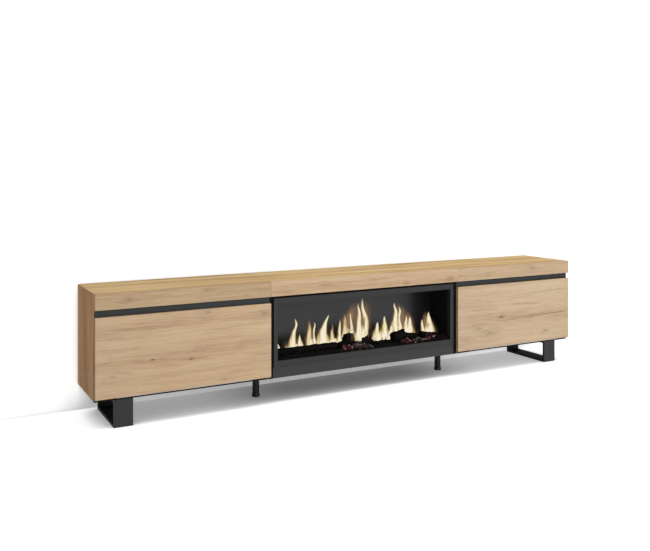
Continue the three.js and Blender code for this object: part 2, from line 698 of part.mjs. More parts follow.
// A moulded log along X, flat where it lies on the bed, with one branch stub.
function log(name, shares) {
  const { length, radius, x, y } = logPlace(shares);
  const points = LOG_PROFILE_SHARES.map(([along, out]) => new THREE.Vector2(out * radius, along * length));
  const trunk = new THREE.LatheGeometry(points, LOG_SIDES)
    .rotateZ(-Math.PI / 2)
    .translate(-length / 2, 0, 0);
  const stubRadius = radius * STUB_SHARES.radius;
  const stubReach = radius * STUB_SHARES.reach;
  const stub = new THREE.CylinderGeometry(stubRadius, stubRadius, stubReach, LOG_SIDES)
    .translate(0, stubReach / 2, 0)
    .rotateX(STUB_SHARES.tilt)
    .translate((STUB_SHARES.along - 0.5) * length, 0, 0);
  const seat = BED_TOP + FIT;
  const axis = seat + radius * (1 - LOG_FLAT_SHARE);
  const place = new THREE.Matrix4().makeRotationZ(shares.yaw).setPosition(x, y, axis);
  const below = block([x - length, x + length], [y - length, y + length], [seat, seat - radius * 2]);
  return part(name, built([trunk.applyMatrix4(place), stub.applyMatrix4(place)], [below]), SOOT, 0.9);
}

// Whether a coal at x in one of the rows would touch a log.
function underLog(x, row) {
  const across = BED_FRONT + row * (BED_REAR - BED_FRONT);
  return [LEFT_LOG_SHARES, MIDDLE_LOG_SHARES, RIGHT_LOG_SHARES].some((shares) => {
    const place = logPlace(shares);
    const swing = Math.abs(Math.sin(shares.yaw)) * place.length / 2;
    return Math.abs(x - place.x) < place.length / 2 + COAL_RADIUS
      && Math.abs(across - place.y) < place.radius * (1 + STUB_SHARES.reach) + swing + COAL_RADIUS;
  });
}

// The moulded bed of coals in front of the flame screen.
function emberBed() {
  const slab = block([-BED_HALF, BED_HALF], [BED_FRONT, BED_REAR], [BED_UNDERSIDE, BED_TOP]);
  const coals = [];
  for (let i = 0; i < COAL_COUNT; i += 1) {
    const radius = COAL_RADIUS * COAL_SIZE_SHARES[i % COAL_SIZE_SHARES.length];
    const along = ((i + 1) * COAL_STEP_SHARE) % 1;
    const row = COAL_ROW_SHARES[i % COAL_ROW_SHARES.length];
    const x = (along * 2 - 1) * (BED_HALF - COAL_RADIUS);
    const y = BED_FRONT + row * (BED_REAR - BED_FRONT);
    if (!underLog(x, row)) {
      coals.push(new THREE.IcosahedronGeometry(radius, 0)
        .rotateZ(i)
        .rotateX(i * COAL_STEP_SHARE)
        .translate(x, y, BED_TOP + radius * COAL_SINK_SHARE));
    }
  }
  return part('ember_bed', built([slab, ...coals]), SOOT, 0.95);
}

// The smoked screen that the flame image shows on, and the rail that carries the bed before it.
function screenAndRail() {
  const inner = [-HOUSING_INNER + FIT, HOUSING_INNER - FIT];
  return [
    part('flame_screen', block(
      inner,
      [SCREEN_FRONT, SCREEN_REAR],
      [HOUSING_FLOOR, HOUSING_CEILING - FIT],
    ), SCREEN_GREY, 0.4),
    part('bed_rail', block(
      inner,
      [BED_RAIL_REAR - SHEET, BED_RAIL_REAR],
      [HOUSING_FLOOR, OPENING_BOTTOM],
    ), BLACK_STEEL, 0.6, 0.3),
  ];
}

// A strip of light chips on the housing's floor behind the screen.
function lightBoard() {
  const half = CONTROL_START - CONTROL_END_GAP;
  const middle = SCREEN_REAR + LIGHT_BOARD_SETBACK;
  const top = HOUSING_FLOOR + LIGHT_BOARD;
  const pieces = [block(
    [-half, half],
    [middle - LIGHT_BOARD_WIDTH / 2, middle + LIGHT_BOARD_WIDTH / 2],
    [HOUSING_FLOOR, top],
  )];
  for (let i = 0; i < LIGHT_CHIPS; i += 1) {
    const x = ((i + 0.5) / LIGHT_CHIPS * 2 - 1) * half;
    pieces.push(block(
      [x - LIGHT_CHIP / 2, x + LIGHT_CHIP / 2],
      [middle - LIGHT_CHIP / 2, middle + LIGHT_CHIP / 2],
      [HOUSING_FLOOR, top + LIGHT_CHIP_HEIGHT],
    ));
  }
  return part('light_board', built(pieces), BOARD_WHITE, 0.5);
}

// The turning rod whose mirrored paddles make the flame image flicker.
function flickerRod() {
  const start = MOTOR_START - ROD_SOCKET + FIT;
  const end = CONTROL_START + ROD_SOCKET - FIT;
  const first = MOTOR_START + MOTOR_END_GAP;
  const last = CONTROL_START - MOTOR_END_GAP;
  const pitch = (last - first) / PADDLE_COUNT;
  const pieces = [barAlongX([0, 0], ROD_RADIUS, [start, end])];
  for (let i = 0; i < PADDLE_COUNT; i += 1) {
    const middle = first + (i + 0.5) * pitch;
    pieces.push(block(
      [middle - PADDLE_LENGTH / 2, middle + PADDLE_LENGTH / 2],
      [-PADDLE_REACH, PADDLE_REACH],
      [-PADDLE_SHEET / 2, PADDLE_SHEET / 2],
    ).rotateX(i * Math.PI / 4));
  }
  return part('flicker_rod', built(pieces).translate(0, ROD_Y, ROD_Z), MIRROR, 0.15, 1);
}

// The geared motor that turns the rod, on its foot.
function flickerMotor() {
  const span = [MOTOR_END, MOTOR_START];
  return part('flicker_motor', built(
    [
      barAlongX([ROD_Y, ROD_Z], MOTOR_RADIUS, span, ROUND_SIDES),
      block(span, [ROD_Y - MOTOR_FOOT_HALF_WIDTH, ROD_Y + MOTOR_FOOT_HALF_WIDTH], [HOUSING_FLOOR, ROD_Z]),
    ],
    [barAlongX([ROD_Y, ROD_Z], ROD_RADIUS + ROD_PLAY, [MOTOR_START - ROD_SOCKET, MOTOR_START + ROD_SOCKET])],
  ), BLACK_PLASTIC, 0.5);
}

// The box that holds the electronics, the mains inlet, the switch's well and the rod's far bearing.
function controlBox() {
  const front = SCREEN_REAR + CONTROL_FRONT_SETBACK;
  const inletX = PANEL_MIDDLE - INLET_OFFSET;
  const switchX = PANEL_MIDDLE + SWITCH_OFFSET;
  const inletFloor = PANEL_FACE - INLET_DEPTH;
  const pins = [-1, 0, 1].map((i) => {
    const x = inletX + i * INLET_PIN_SPACING;
    return block(
      [x - INLET_PIN / 2, x + INLET_PIN / 2],
      [inletFloor - INLET_PIN, inletFloor + INLET_PIN_LENGTH],
      [PANEL_CENTRE - INLET_PIN_HEIGHT / 2, PANEL_CENTRE + INLET_PIN_HEIGHT / 2],
    );
  });
  const socketHalf = SWITCH_WIDTH / 2 + ROCKER_PIN_LENGTH + ROCKER_PLAY;
  const shell = built(
    [
      block(
        [CONTROL_START, CONTROL_END],
        [front, HOUSING_REAR - SHEET - FIT],
        [HOUSING_FLOOR, HOUSING_FLOOR + CONTROL_HEIGHT],
      ),
      block(
        [PANEL_MIDDLE - PANEL_LENGTH / 2, PANEL_MIDDLE + PANEL_LENGTH / 2],
        [front, PANEL_FACE],
        [PANEL_BOTTOM, PANEL_BOTTOM + PANEL_HEIGHT],
      ),
    ],
    [
      block(
        [inletX - INLET_LENGTH / 2, inletX + INLET_LENGTH / 2],
        [inletFloor, PANEL_FACE + INLET_DEPTH],
        [PANEL_CENTRE - INLET_HEIGHT / 2, PANEL_CENTRE + INLET_HEIGHT / 2],
      ),
      block(
        [switchX - SWITCH_WIDTH / 2, switchX + SWITCH_WIDTH / 2],
        [PANEL_FACE - SWITCH_DEPTH, PANEL_FACE + SWITCH_DEPTH],
        [PANEL_CENTRE - SWITCH_LENGTH / 2, PANEL_CENTRE + SWITCH_LENGTH / 2],
      ),
      barAlongX(
        [PANEL_FACE - SWITCH_PIVOT_DEPTH, PANEL_CENTRE],
        ROCKER_PIN_RADIUS + ROCKER_PLAY / 2,
        [switchX - socketHalf, switchX + socketHalf],
      ),
      barAlongX(
        [ROD_Y, ROD_Z],
        ROD_RADIUS + ROD_PLAY,
        [CONTROL_START - ROD_SOCKET, CONTROL_START + ROD_SOCKET],
      ),
    ],
  );
  return part('control_box', built([shell, ...pins]), BLACK_PLASTIC, 0.55);
}

// The mains switch's rocker, shown pressed on.
function rockerSwitch() {
  const half = SWITCH_WIDTH / 2 - ROCKER_PLAY;
  const outline = [
    [ROCKER_CREST, -ROCKER_HALF_LENGTH],
    [ROCKER_DIP, 0],
    [ROCKER_CREST, ROCKER_HALF_LENGTH],
    [-ROCKER_ROOT_DEPTH, ROCKER_ROOT_HALF_LENGTH],
    [-ROCKER_ROOT_DEPTH, -ROCKER_ROOT_HALF_LENGTH],
  ];
  const pinHalf = half + ROCKER_PIN_LENGTH;
  const rocker = built([
    drawnAlongX(outline, [-half, half]),
    barAlongX([0, 0], ROCKER_PIN_RADIUS, [-pinHalf, pinHalf]),
  ]);
  rocker.rotateX(-ROCKER_TILT).translate(
    PANEL_MIDDLE + SWITCH_OFFSET,
    PANEL_FACE - SWITCH_PIVOT_DEPTH,
    PANEL_CENTRE,
  );
  return part('rocker_switch', rocker, BLACK_PLASTIC, 0.4);
}

// The whole fire insert.
function fire() {
  return assembly('fire', [
    bezel(),
    ...housing(),
    ...screenAndRail(),
    emberBed(),
    log('left_log', LEFT_LOG_SHARES),
    log('middle_log', MIDDLE_LOG_SHARES),
    log('right_log', RIGHT_LOG_SHARES),
    lightBoard(),
    flickerRod(),
    flickerMotor(),
    controlBox(),
    rockerSwitch(),
  ]);
}

const stand = new THREE.Group();
stand.name = 'fireplace_tv_stand';
[['left', -1], ['right', 1]].forEach(([label, side]) => {
  stand.add(
    cupboard(label, side),
    doorAssembly(label, side),
    sledLeg(label, side),
    footStem(label, side),
    footPad(label, side),
  );
});
stand.add(middleModule(), fire());

export default stand;
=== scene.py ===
"""Dresses the fireplace TV stand: boards, doors, legs, feet, fittings, the fire and a plain studio."""
import logging
import math
import random
from dataclasses import dataclass
from enum import Enum
from functools import cache, partial
from typing import Any, Callable, Iterable, Sequence

import bmesh
import bpy
from mathutils import Matrix, Vector, noise


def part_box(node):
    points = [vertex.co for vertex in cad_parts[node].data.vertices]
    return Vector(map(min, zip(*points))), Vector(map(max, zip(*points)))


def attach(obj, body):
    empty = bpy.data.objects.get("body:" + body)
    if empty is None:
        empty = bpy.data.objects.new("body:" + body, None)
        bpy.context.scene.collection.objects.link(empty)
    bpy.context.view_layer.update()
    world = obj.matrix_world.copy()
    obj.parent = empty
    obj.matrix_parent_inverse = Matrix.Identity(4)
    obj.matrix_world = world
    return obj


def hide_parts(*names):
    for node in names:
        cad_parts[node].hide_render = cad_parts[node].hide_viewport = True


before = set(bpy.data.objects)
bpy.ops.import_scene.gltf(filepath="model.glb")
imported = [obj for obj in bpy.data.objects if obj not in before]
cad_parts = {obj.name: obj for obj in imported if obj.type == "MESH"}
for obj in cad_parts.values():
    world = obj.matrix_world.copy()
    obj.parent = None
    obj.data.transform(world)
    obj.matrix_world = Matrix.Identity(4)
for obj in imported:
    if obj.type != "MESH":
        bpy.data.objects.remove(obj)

MM = 0.001
LOG = logging.getLogger("fireplace_stand")
UP, DOWN, BACKWARD = Vector((0, 0, 1)), Vector((0, 0, -1)), Vector((0, 1, 0))
# The setting of a map-range node that eases in and out.
SOFT = {"interpolation_type": "SMOOTHSTEP"}

Colour = tuple[float, float, float, float]
Material = bpy.types.Material
Mesh = bmesh.types.BMesh
Point = tuple[float, float, float]
Socket = bpy.types.NodeSocket
Adder = Callable[..., Socket]


class Grain(Enum):
    """The way that a board's grain runs, as the axis along it."""

    LENGTHWISE = 0
    UPRIGHT = 2


class Side(Enum):
    """An end of the stand, with its sign along X."""

    LEFT = -1
    RIGHT = 1

    @property
    def label(self) -> str:
        """The word that names of nodes and bodies at this end start with."""
        return self.name.lower()


def linear(hex_code: int) -> Colour:
    """Turns an sRGB colour, as 0xRRGGBB, into linear red, green, blue and a full alpha."""
    channels = [((hex_code >> shift) & 255) / 255 for shift in (16, 8, 0)]
    red, green, blue = (c / 12.92 if c <= 0.04045 else ((c + 0.055) / 1.055) ** 2.4 for c in channels)
    return (red, green, blue, 1.0)


def grey(value: float) -> Colour:
    """A neutral colour, in linear light."""
    return (value, value, value, 1.0)


def mm(*place: float) -> Vector:
    """A place given in millimetres, as a vector in metres."""
    return Vector(place) * MM


def plug(node: bpy.types.Node, inputs: dict[str | int, Any]) -> None:
    """Fills a node's inputs.

    Args:
        node: The node.
        inputs: A socket to link or a value to set, for each input by name or number.
    """
    for key, value in inputs.items():
        if isinstance(value, Socket):
            node.id_data.links.new(value, node.inputs[key])
        else:
            node.inputs[key].default_value = value


def add_node(
    tree: bpy.types.NodeTree, kind: str, inputs: dict[str | int, Any] | Sequence[Any] = (),
    out: str | int = 0, **settings: Any,
) -> Socket:
    """Adds a node, sets it and links it.

    Args:
        tree: The material's or world's node tree.
        kind: The node's type name after "ShaderNode", with the operation of a math node after a colon.
        inputs: A value or a socket for each input by name or number, or for the first ones in order.
        out: The output that is wanted, by name or number.
        settings: The node's own settings; "stops" gives a colour ramp's places and colours.

    Returns:
        The output, or the first input of a node that has no output.
    """
    kind, _, operation = kind.partition(":")
    node = tree.nodes.new(f"ShaderNode{kind}")
    if operation:
        node.operation = operation
    for place, (stop, colour) in enumerate(settings.pop("stops", ())):
        elements = node.color_ramp.elements
        element = elements[place] if place < len(elements) else elements.new(stop)
        element.position = stop
        element.color = colour
    for key, value in settings.items():
        setattr(node, key, value)
    plug(node, inputs if isinstance(inputs, dict) else dict(enumerate(inputs)))
    return (node.outputs or node.inputs)[out]


def cleared(owner: Material | bpy.types.World) -> Adder:
    """Empties the node tree of a material or a world.

    Args:
        owner: What the tree belongs to.

    Returns:
        What adds nodes to the tree.
    """
    owner.use_nodes = True
    owner.node_tree.nodes.clear()
    return partial(add_node, owner.node_tree)


@dataclass(frozen=True)
class Finish:
    """A surface finish; each kind paints its own material."""

    name: str

    @cache
    def make(self) -> Material:
        """Makes the material, once for each finish, and names it for the finish.

        Returns:
            The material.
        """
        material = bpy.data.materials.new(self.name)
        add = cleared(material)
        shader = add("BsdfPrincipled").node
        add("OutputMaterial", {"Surface": shader.outputs["BSDF"]})
        plug(shader, self.paint(add, add("TexCoord", out="Object")))
        return material

    def paint(self, add: Adder, place: Socket) -> dict[str, Any]:
        """Adds the finish's own nodes.

        Args:
            add: Adds a node to the material.
            place: Object coordinates, in metres.

        Returns:
            What each of the shader's inputs gets.
        """
        raise NotImplementedError


@dataclass(frozen=True)
class Knot:
    """A knot in the printed oak: its place on the board's face and its radius in mm, and its darkness."""

    x: float
    z: float
    radius: float = 9.0
    depth: float = 0.55
    spread: float = 3.4


@dataclass(frozen=True)
class Vein:
    """A dark vein along the grain: its middle, length, thickness and rise in mm, and its darkness."""

    x: float
    z: float
    length: float
    thickness: float
    rise: float
    depth: float


@dataclass(frozen=True)
class OakMelamine(Finish):
    """Oak-look melamine board: printed paper under a satin resin skin pressed with a fine grain.

    The eye gets long soft streaks of straw and tan, short darker fibres, greyish patches, and a few knots
    that the fibres swing round. Fibres of about 1 mm are drawn 2 to 4 mm thick, which is what shows at the
    photograph's distance. The tones are pale, middle and dark, and the streaks' sizes are in millimetres.
    """

    grain: Grain = Grain.LENGTHWISE
    tones: tuple[int, int, int] = (0xD9BE9C, 0xC7AA88, 0xA88666)
    knot: int = 0x6E503A
    shift: Point = (0.0, 0.0, 0.0)
    bands: float = 0.5
    shine: float = 0.3
    knots: tuple[Knot, ...] = ()
    veins: tuple[Vein, ...] = ()

    def streaks(
        self, add: Adder, place: Socket, along: float, across: float, detail: float = 2.0,
        out: str = "Fac",
    ) -> Socket:
        """A noise drawn out along the grain.

        Args:
            add: Adds a node.
            place: The place that it reads.
            along: Its length.
            across: Its width.
            detail: Its octaves.
            out: The noise node's output.

        Returns:
            The noise.
        """
        scales = [1 / (across * MM)] * 3
        scales[self.grain.value] = 1 / (along * MM)
        placed = add("Mapping", {"Vector": place, "Location": self.shift, "Scale": scales})
        return add("TexNoise", {"Vector": placed, "Scale": 1.0, "Detail": detail, "Roughness": 0.58}, out)

    def swayed(self, add: Adder, place: Socket) -> Socket:
        """Bends a place a little, so that no fibre runs straight.

        Args:
            add: Adds a node.
            place: The place.

        Returns:
            The bent place.
        """
        for along, across, reach in ((420, 90, 13), (110, 16, 2.4)):
            drift = self.streaks(add, place, along, across, 1.0, "Color")
            centred = add("VectorMath:SUBTRACT", (drift, (0.5, 0.5, 0.5)))
            place = add("VectorMath:MULTIPLY_ADD", (centred, mm(reach, reach, reach), place))
        return place

    def darkened(self, add: Adder, bent: Socket, bands: Socket) -> tuple[Socket, list[Socket]]:
        """Adds the knots and veins.

        Args:
            add: Adds a node.
            bent: The swayed place.
            bands: The patches, which break up the knots' rims and the veins.

        Returns:
            The place with the fibres swung round the knots, and how dark each knot and vein makes it.
        """
        shades: list[Socket] = []
        swung = bent
        for knot in self.knots:
            radius = knot.radius * MM
            offset = add("VectorMath:SUBTRACT", (bent, mm(knot.x, 0.0, knot.z)))
            flat = add("VectorMath:MULTIPLY", (offset, (0.42, 0.0, 1.0)))
            reach = add("VectorMath:LENGTH", (flat,), "Value")
            swing = add("MapRange", (reach, 0.0, 4.5 * radius, -0.6, 0.0), **SOFT)
            pull = add("VectorMath:SCALE", {0: flat, "Scale": swing})
            swung = add("VectorMath:ADD", (swung, pull))
            shades.append(add("MapRange", (reach, 0.1 * radius, radius, knot.depth, 0.0), **SOFT))
            rim = add("MapRange", (reach, 0.0, knot.spread * radius, knot.depth * 0.8, 0.0), **SOFT)
            shades.append(add("Math:MULTIPLY", (rim, bands)))
        for vein in self.veins:
            length = vein.length * MM
            offset = add("VectorMath:SUBTRACT", (bent, mm(vein.x, 0.0, vein.z)))
            x, _, z = add("SeparateXYZ", (offset,)).node.outputs
            level = add("Math:MULTIPLY_ADD", (x, -vein.rise / vein.length, z))
            off = add("Math:ABSOLUTE", (level,))
            out = add("Math:ABSOLUTE", (x,))
            line = add("MapRange", (off, 0.0, vein.thickness * MM, vein.depth * 1.9, 0.0), **SOFT)
            ends = add("MapRange", (out, length * 0.3, length * 0.5, 1.0, 0.0), **SOFT)
            drawn = add("Math:MULTIPLY", (line, ends))
            shades.append(add("Math:MULTIPLY", (drawn, bands)))
        return swung, shades

    def paint(self, add: Adder, place: Socket) -> dict[str, Any]:
        """Paints streaks, fibres, flecks, patches, knots and veins.

        Args:
            add: Adds a node.
            place: Object coordinates.

        Returns:
            The shader's inputs.
        """
        pale, middle, dark = (linear(tone) for tone in self.tones)
        bent = self.swayed(add, place)
        bent, shades = self.darkened(add, bent, self.streaks(add, bent, 55, 16))
        fibres = self.streaks(add, bent, 130, 2.8, 3.0)
        layers = (
            (self.streaks(add, bent, 900, 62), self.bands), (self.streaks(add, bent, 760, 27, 4.0), 0.4),
            (self.streaks(add, bent, 300, 9, 3.0), 0.14), (self.streaks(add, bent, 70, 5.5), 0.24),
            (fibres, 0.58),
        )
        tone: Socket | float = 0.84 - sum(weight for _, weight in layers) / 2
        for layer, weight in layers:
            tone = add("Math:MULTIPLY_ADD", (layer, weight, tone))
        colour = add("ValToRGB", (add("MapRange", (tone, 0.58, 1.12, 0.0, 1.0)),), stops=(
            (0.0, dark), (0.48, middle), (1.0, pale),
        ))
        speck = add("MapRange", (self.streaks(add, bent, 22, 2.2, 1.0), 0.6, 0.78, 0.0, 0.42))
        colour = add("Mix", {0: speck, 6: colour, 7: dark}, 2, data_type="RGBA")
        if shades:
            darkest = shades[0]
            for shade in shades[1:]:
                darkest = add("Math:MAXIMUM", (darkest, shade))
            colour = add("Mix", {0: darkest, 6: colour, 7: linear(self.knot)}, 2, data_type="RGBA")
        return {
            "Base Color": colour, "Roughness": add("MapRange", (fibres, 0.3, 0.7, 0.48, 0.6)),
            "Normal": add("Bump", {"Height": fibres, "Strength": 0.25, "Distance": 0.15 * MM}),
            "Specular IOR Level": self.shine,
        }


@dataclass(frozen=True)
class MattSkin(Finish):
    """A plain matt skin: melamine, powder coat, hardboard or moulded plastic.

    The eye gets one quiet colour with a faint cloudiness and, close to, the grit of the pressed, sprayed or
    moulded surface, whose size and relief are given in millimetres.
    """

    colour: int
    worn: int
    roughness: float
    grit: float
    relief: float
    shine: float

    def paint(self, add: Adder, place: Socket) -> dict[str, Any]:
        """Paints clouds and grit.

        Args:
            add: Adds a node.
            place: Object coordinates.

        Returns:
            The shader's inputs.
        """
        clouds, grit = (
            add("TexNoise", {"Vector": place, "Scale": 1 / (size * MM), "Detail": detail, "Roughness": rough})
            for size, detail, rough in ((70, 3.0, 0.6), (self.grit, 2.0, 0.5))
        )
        ends = (self.roughness - 0.05, self.roughness + 0.05)
        tones = {0: clouds, 6: linear(self.colour), 7: linear(self.worn)}
        return {
            "Base Color": add("Mix", tones, 2, data_type="RGBA"),
            "Roughness": add("MapRange", (grit, 0.3, 0.7, *ends)),
            "Normal": add("Bump", {"Height": grit, "Strength": 0.4, "Distance": self.relief * MM}),
            "Specular IOR Level": self.shine,
        }


@dataclass(frozen=True)
class PlatedSteel(Finish):
    """Zinc-plated or polished sheet steel, rolled along X, which gives it faint lines that way."""

    colour: int = 0xB4B8BA
    roughness: float = 0.34
    line: float = 0.7

    def paint(self, add: Adder, place: Socket) -> dict[str, Any]:
        """Paints rolling lines and patches of plating.

        Args:
            add: Adds a node.
            place: Object coordinates.

        Returns:
            The shader's inputs.
        """
        thin = 1 / (self.line * MM)
        rolled = add("Mapping", {"Vector": place, "Scale": (1 / (40 * MM), thin, thin)})
        lines = add("TexNoise", {"Vector": rolled, "Scale": 1.0, "Detail": 2.0})
        patches = add("TexVoronoi", {"Vector": place, "Scale": 1 / (6 * MM)})
        value = add("MapRange", (patches, 0.0, 1.0, 0.9, 1.05))
        ends = (self.roughness - 0.07, self.roughness + 0.09)
        return {
            "Base Color": add("HueSaturation", {"Color": linear(self.colour), "Value": value}),
            "Roughness": add("MapRange", (lines, 0.3, 0.7, *ends)), "Metallic": 1.0,
        }


@dataclass(frozen=True)
class CharredResin(Finish):
    """Moulded resin painted like burnt oak: soot black, rust-brown bark and grey ash on the ridges.

    Where the glow isn't 0 it is an ember: dull red light from the lamp under a real moulded bed, and a
    painted highlight that turns its up-facing tops brighter and pinkish.
    """

    soot: int = 0x030202
    bark: int = 0x0C0604
    ash: int = 0x2E2622
    ashes: float = 0.3
    bare: float = 0.62
    ember: int = 0x3C1013
    glow_top_highlight: int = 0xDDBABB
    glow: float = 0.0

    def paint(self, add: Adder, place: Socket) -> dict[str, Any]:
        """Paints soot, bark, ash and glow, with a painted highlight on up-facing tops.

        Args:
            add: Adds a node.
            place: Object coordinates.

        Returns:
            The shader's inputs.
        """
        coarse, fine = (
            add("TexNoise", {"Vector": place, "Scale": 1 / (size * MM), "Detail": detail, "Roughness": rough})
            for size, detail, rough in ((24, 5.0, 0.65), (6, 4.0, 0.7))
        )
        body = add("Mix", {0: coarse, 6: linear(self.soot), 7: linear(self.bark)}, 2, data_type="RGBA")
        ashen = add("MapRange", (fine, self.bare, self.bare + 0.12, 0.0, self.ashes))
        values = {
            "Base Color": add("Mix", {0: ashen, 6: body, 7: linear(self.ash)}, 2, data_type="RGBA"),
            "Normal": add("Bump", {"Height": fine, "Strength": 0.8, "Distance": 1.2 * MM}),
            "Roughness": 0.9, "Specular IOR Level": 0.12,
        }
        if self.glow:
            # Painted highlight: up-facing normals push the glow towards its brightest, pinkish colour.
            up = add("SeparateXYZ", (add("TexCoord", out="Normal"),), "Z")
            patches = add("TexNoise", {
                "Vector": place, "Scale": 1 / (15 * MM), "Detail": 2.0, "Roughness": 0.6, "Distortion": 0.3,
            })
            glow_and_top_highlight = add("Math:MULTIPLY_ADD", (up, 0.24, patches))
            values["Emission Color"] = add("ValToRGB", (glow_and_top_highlight,), stops=(
                (0.48, linear(0x060203)), (0.62, linear(self.ember)), (0.72, linear(self.ember)),
                (0.82, linear(self.glow_top_highlight)),
            ))
            values["Emission Strength"] = self.glow
        return values


@dataclass(frozen=True)
class FlameLight(Finish):
    """A flame as the fire's screen shows it: a pale core, amber flanks and soft see-through edges.

    It reads the tongue's own UV map: across it from edge to edge, and along it from foot to tip.
    """

    core: int = 0xEFE3C4
    flank: int = 0xC9B07A
    edge: int = 0x75603F
    density: float = 0.96
    softness: float = 0.5
    tip: float = 0.95
    cooling: float = 0.35

    def paint(self, add: Adder, place: Socket) -> dict[str, Any]:
        """Paints the core, the flanks and the fading edge.

        Args:
            add: Adds a node.
            place: Object coordinates.

        Returns:
            The shader's inputs.
        """
        wisps = add("Mapping", {"Vector": place, "Scale": (1 / (19 * MM), 1 / (60 * MM), 1 / (105 * MM))})
        flow = add("TexNoise", {
            "Vector": wisps, "Scale": 1.0, "Detail": 3.0, "Roughness": 0.55, "Distortion": 0.5,
        })
        x, along, _ = add("SeparateXYZ", (add("UVMap", uv_map="tongue"),)).node.outputs
        drift = add("Math:MULTIPLY_ADD", (flow, 0.44, -0.22))
        across = add("Math:ADD", (x, drift))
        centred = add("Math:MULTIPLY_ADD", (across, 2.0, -1.0))
        off = add("Math:ABSOLUTE", (centred,))
        depth = add("Math:SUBTRACT", (1.0, off))
        body = add("MapRange", (depth, 0.02, self.softness, 0.0, self.density), **SOFT)
        foot = add("MapRange", (along, 0.0, 0.05, 0.0, 1.0), **SOFT)
        tip = add("MapRange", (along, self.tip - 0.15, 1.0, 1.0, 0.0), **SOFT)
        ends = add("Math:MULTIPLY", (foot, tip))
        lick = add("MapRange", (flow, 0.38, 0.56, 0.42, 1.0))
        deep = add("Math:MULTIPLY", (depth, lick))
        cooling = add("Math:MULTIPLY_ADD", (along, -self.cooling, 1.0))
        heat = add("Math:MULTIPLY", (deep, cooling))
        return {
            "Alpha": add("Math:MULTIPLY", (body, ends), use_clamp=True),
            "Emission Color": add("ValToRGB", (heat,), stops=(
                (0.08, linear(self.edge)), (0.26, linear(self.flank)), (0.5, linear(self.core)),
            )),
            "Emission Strength": 1.0, "Base Color": grey(0.0), "Roughness": 1.0, "Specular IOR Level": 0.0,
        }


@dataclass(frozen=True)
class LampLens(Finish):
    """The yellow phosphor lens of a small light chip, faintly lit, with a fine grain that stirs its tone."""

    colour: int = 0xE8D488

    def paint(self, add: Adder, place: Socket) -> dict[str, Any]:
        """Paints the lens.

        Args:
            add: Adds a node.
            place: Object coordinates.

        Returns:
            The shader's inputs.
        """
        grain = add("TexNoise", {"Vector": place, "Scale": 1 / (0.6 * MM)})
        value = add("MapRange", (grain, 0.0, 1.0, 0.85, 1.1))
        colour = add("HueSaturation", {"Color": linear(self.colour), "Value": value})
        return {"Base Color": colour, "Emission Color": colour, "Emission Strength": 0.5, "Roughness": 0.3}


def placed(name: str, data: Any) -> bpy.types.Object:
    """Adds an object to the scene."""
    item = bpy.data.objects.new(name, data)
    bpy.context.scene.collection.objects.link(item)
    return item


def finished(
    mesh: Mesh, name: str, slot: str, *finishes: Finish, names: Sequence[str] = (),
    smooth: float | None = 30.0, body: str = "cabinet",
) -> bpy.types.Object:
    """Turns a bmesh into a piece of the stand.

    Args:
        mesh: The shape, in metres in the stand's frame; it is freed.
        name: The piece's name.
        slot: The record's material slot; not used.
        finishes: Its finishes, in slot order.
        names: Nodes that it stands for.
        smooth: The angle in degrees over which an edge stays sharp, or None for flat faces.
        body: The moving body that carries it.

    Returns:
        The object.
    """
    if smooth is not None:
        for face in mesh.faces:
            face.smooth = True
        for edge in mesh.edges:
            edge.smooth = len(edge.link_faces) == 2 and edge.calc_face_angle(0.0) < math.radians(smooth)
    data = bpy.data.meshes.new(name)
    mesh.to_mesh(data)
    mesh.free()
    for finish in finishes:
        data.materials.append(finish.make())
    piece = placed(name, data)
    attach(piece, body)
    if names:
        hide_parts(*names)
    LOG.info("%s: %d faces on %s", name, len(data.polygons), body)
    return piece


def dress(node: str, finish: Finish) -> None:
    """Gives a node that stays its finish, in every one of its material slots.

    Args:
        node: The node's name.
        finish: The finish.
    """
    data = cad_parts[node].data
    if not data.materials:
        data.materials.append(finish.make())
    for index in range(len(data.materials)):
        data.materials[index] = finish.make()
    LOG.info("%s: %s", node, finish.name)


def bevelled(mesh: Mesh, edges: Iterable[bmesh.types.BMEdge], width: float) -> None:
    """Rounds edges.

    Args:
        mesh: Their mesh.
        edges: The edges.
        width: How wide the rounding is, in millimetres.
    """
    bmesh.ops.bevel(
        mesh, geom=list(edges), offset=width * MM, offset_type="OFFSET", affect="EDGES", segments=2,
        profile=0.5, material=-1, clamp_overlap=True,
    )


def block(mesh: Mesh, low: Vector, high: Vector) -> list[bmesh.types.BMVert]:
    """Adds a block between two corners, and gives its vertices."""
    shape = Matrix.Translation((low + high) / 2) @ Matrix.Diagonal((*(high - low), 1.0))
    return bmesh.ops.create_cube(mesh, size=1.0, matrix=shape)["verts"]


def spun(profile: Sequence[tuple[float, float]], centre: Vector, axis: Vector) -> Mesh:
    """Spins a profile round an axis and closes it.

    Args:
        profile: Radius and height in millimetres, from one end of the axis to the other.
        centre: Where the axis starts, in metres.
        axis: Its direction, of length 1.

    Returns:
        The mesh.
    """
    mesh = bmesh.new()
    out = axis.orthogonal().normalized()
    points = [mesh.verts.new(centre + (out * radius + axis * height) * MM) for radius, height in profile]
    edges = [mesh.edges.new(pair) for pair in zip(points, points[1:])]
    bmesh.ops.spin(
        mesh, geom=points + edges, cent=centre, axis=axis, angle=math.tau, steps=48, use_merge=True,
    )
    bmesh.ops.remove_doubles(mesh, verts=mesh.verts, dist=1e-6)
    bmesh.ops.recalc_face_normals(mesh, faces=mesh.faces)
    return mesh


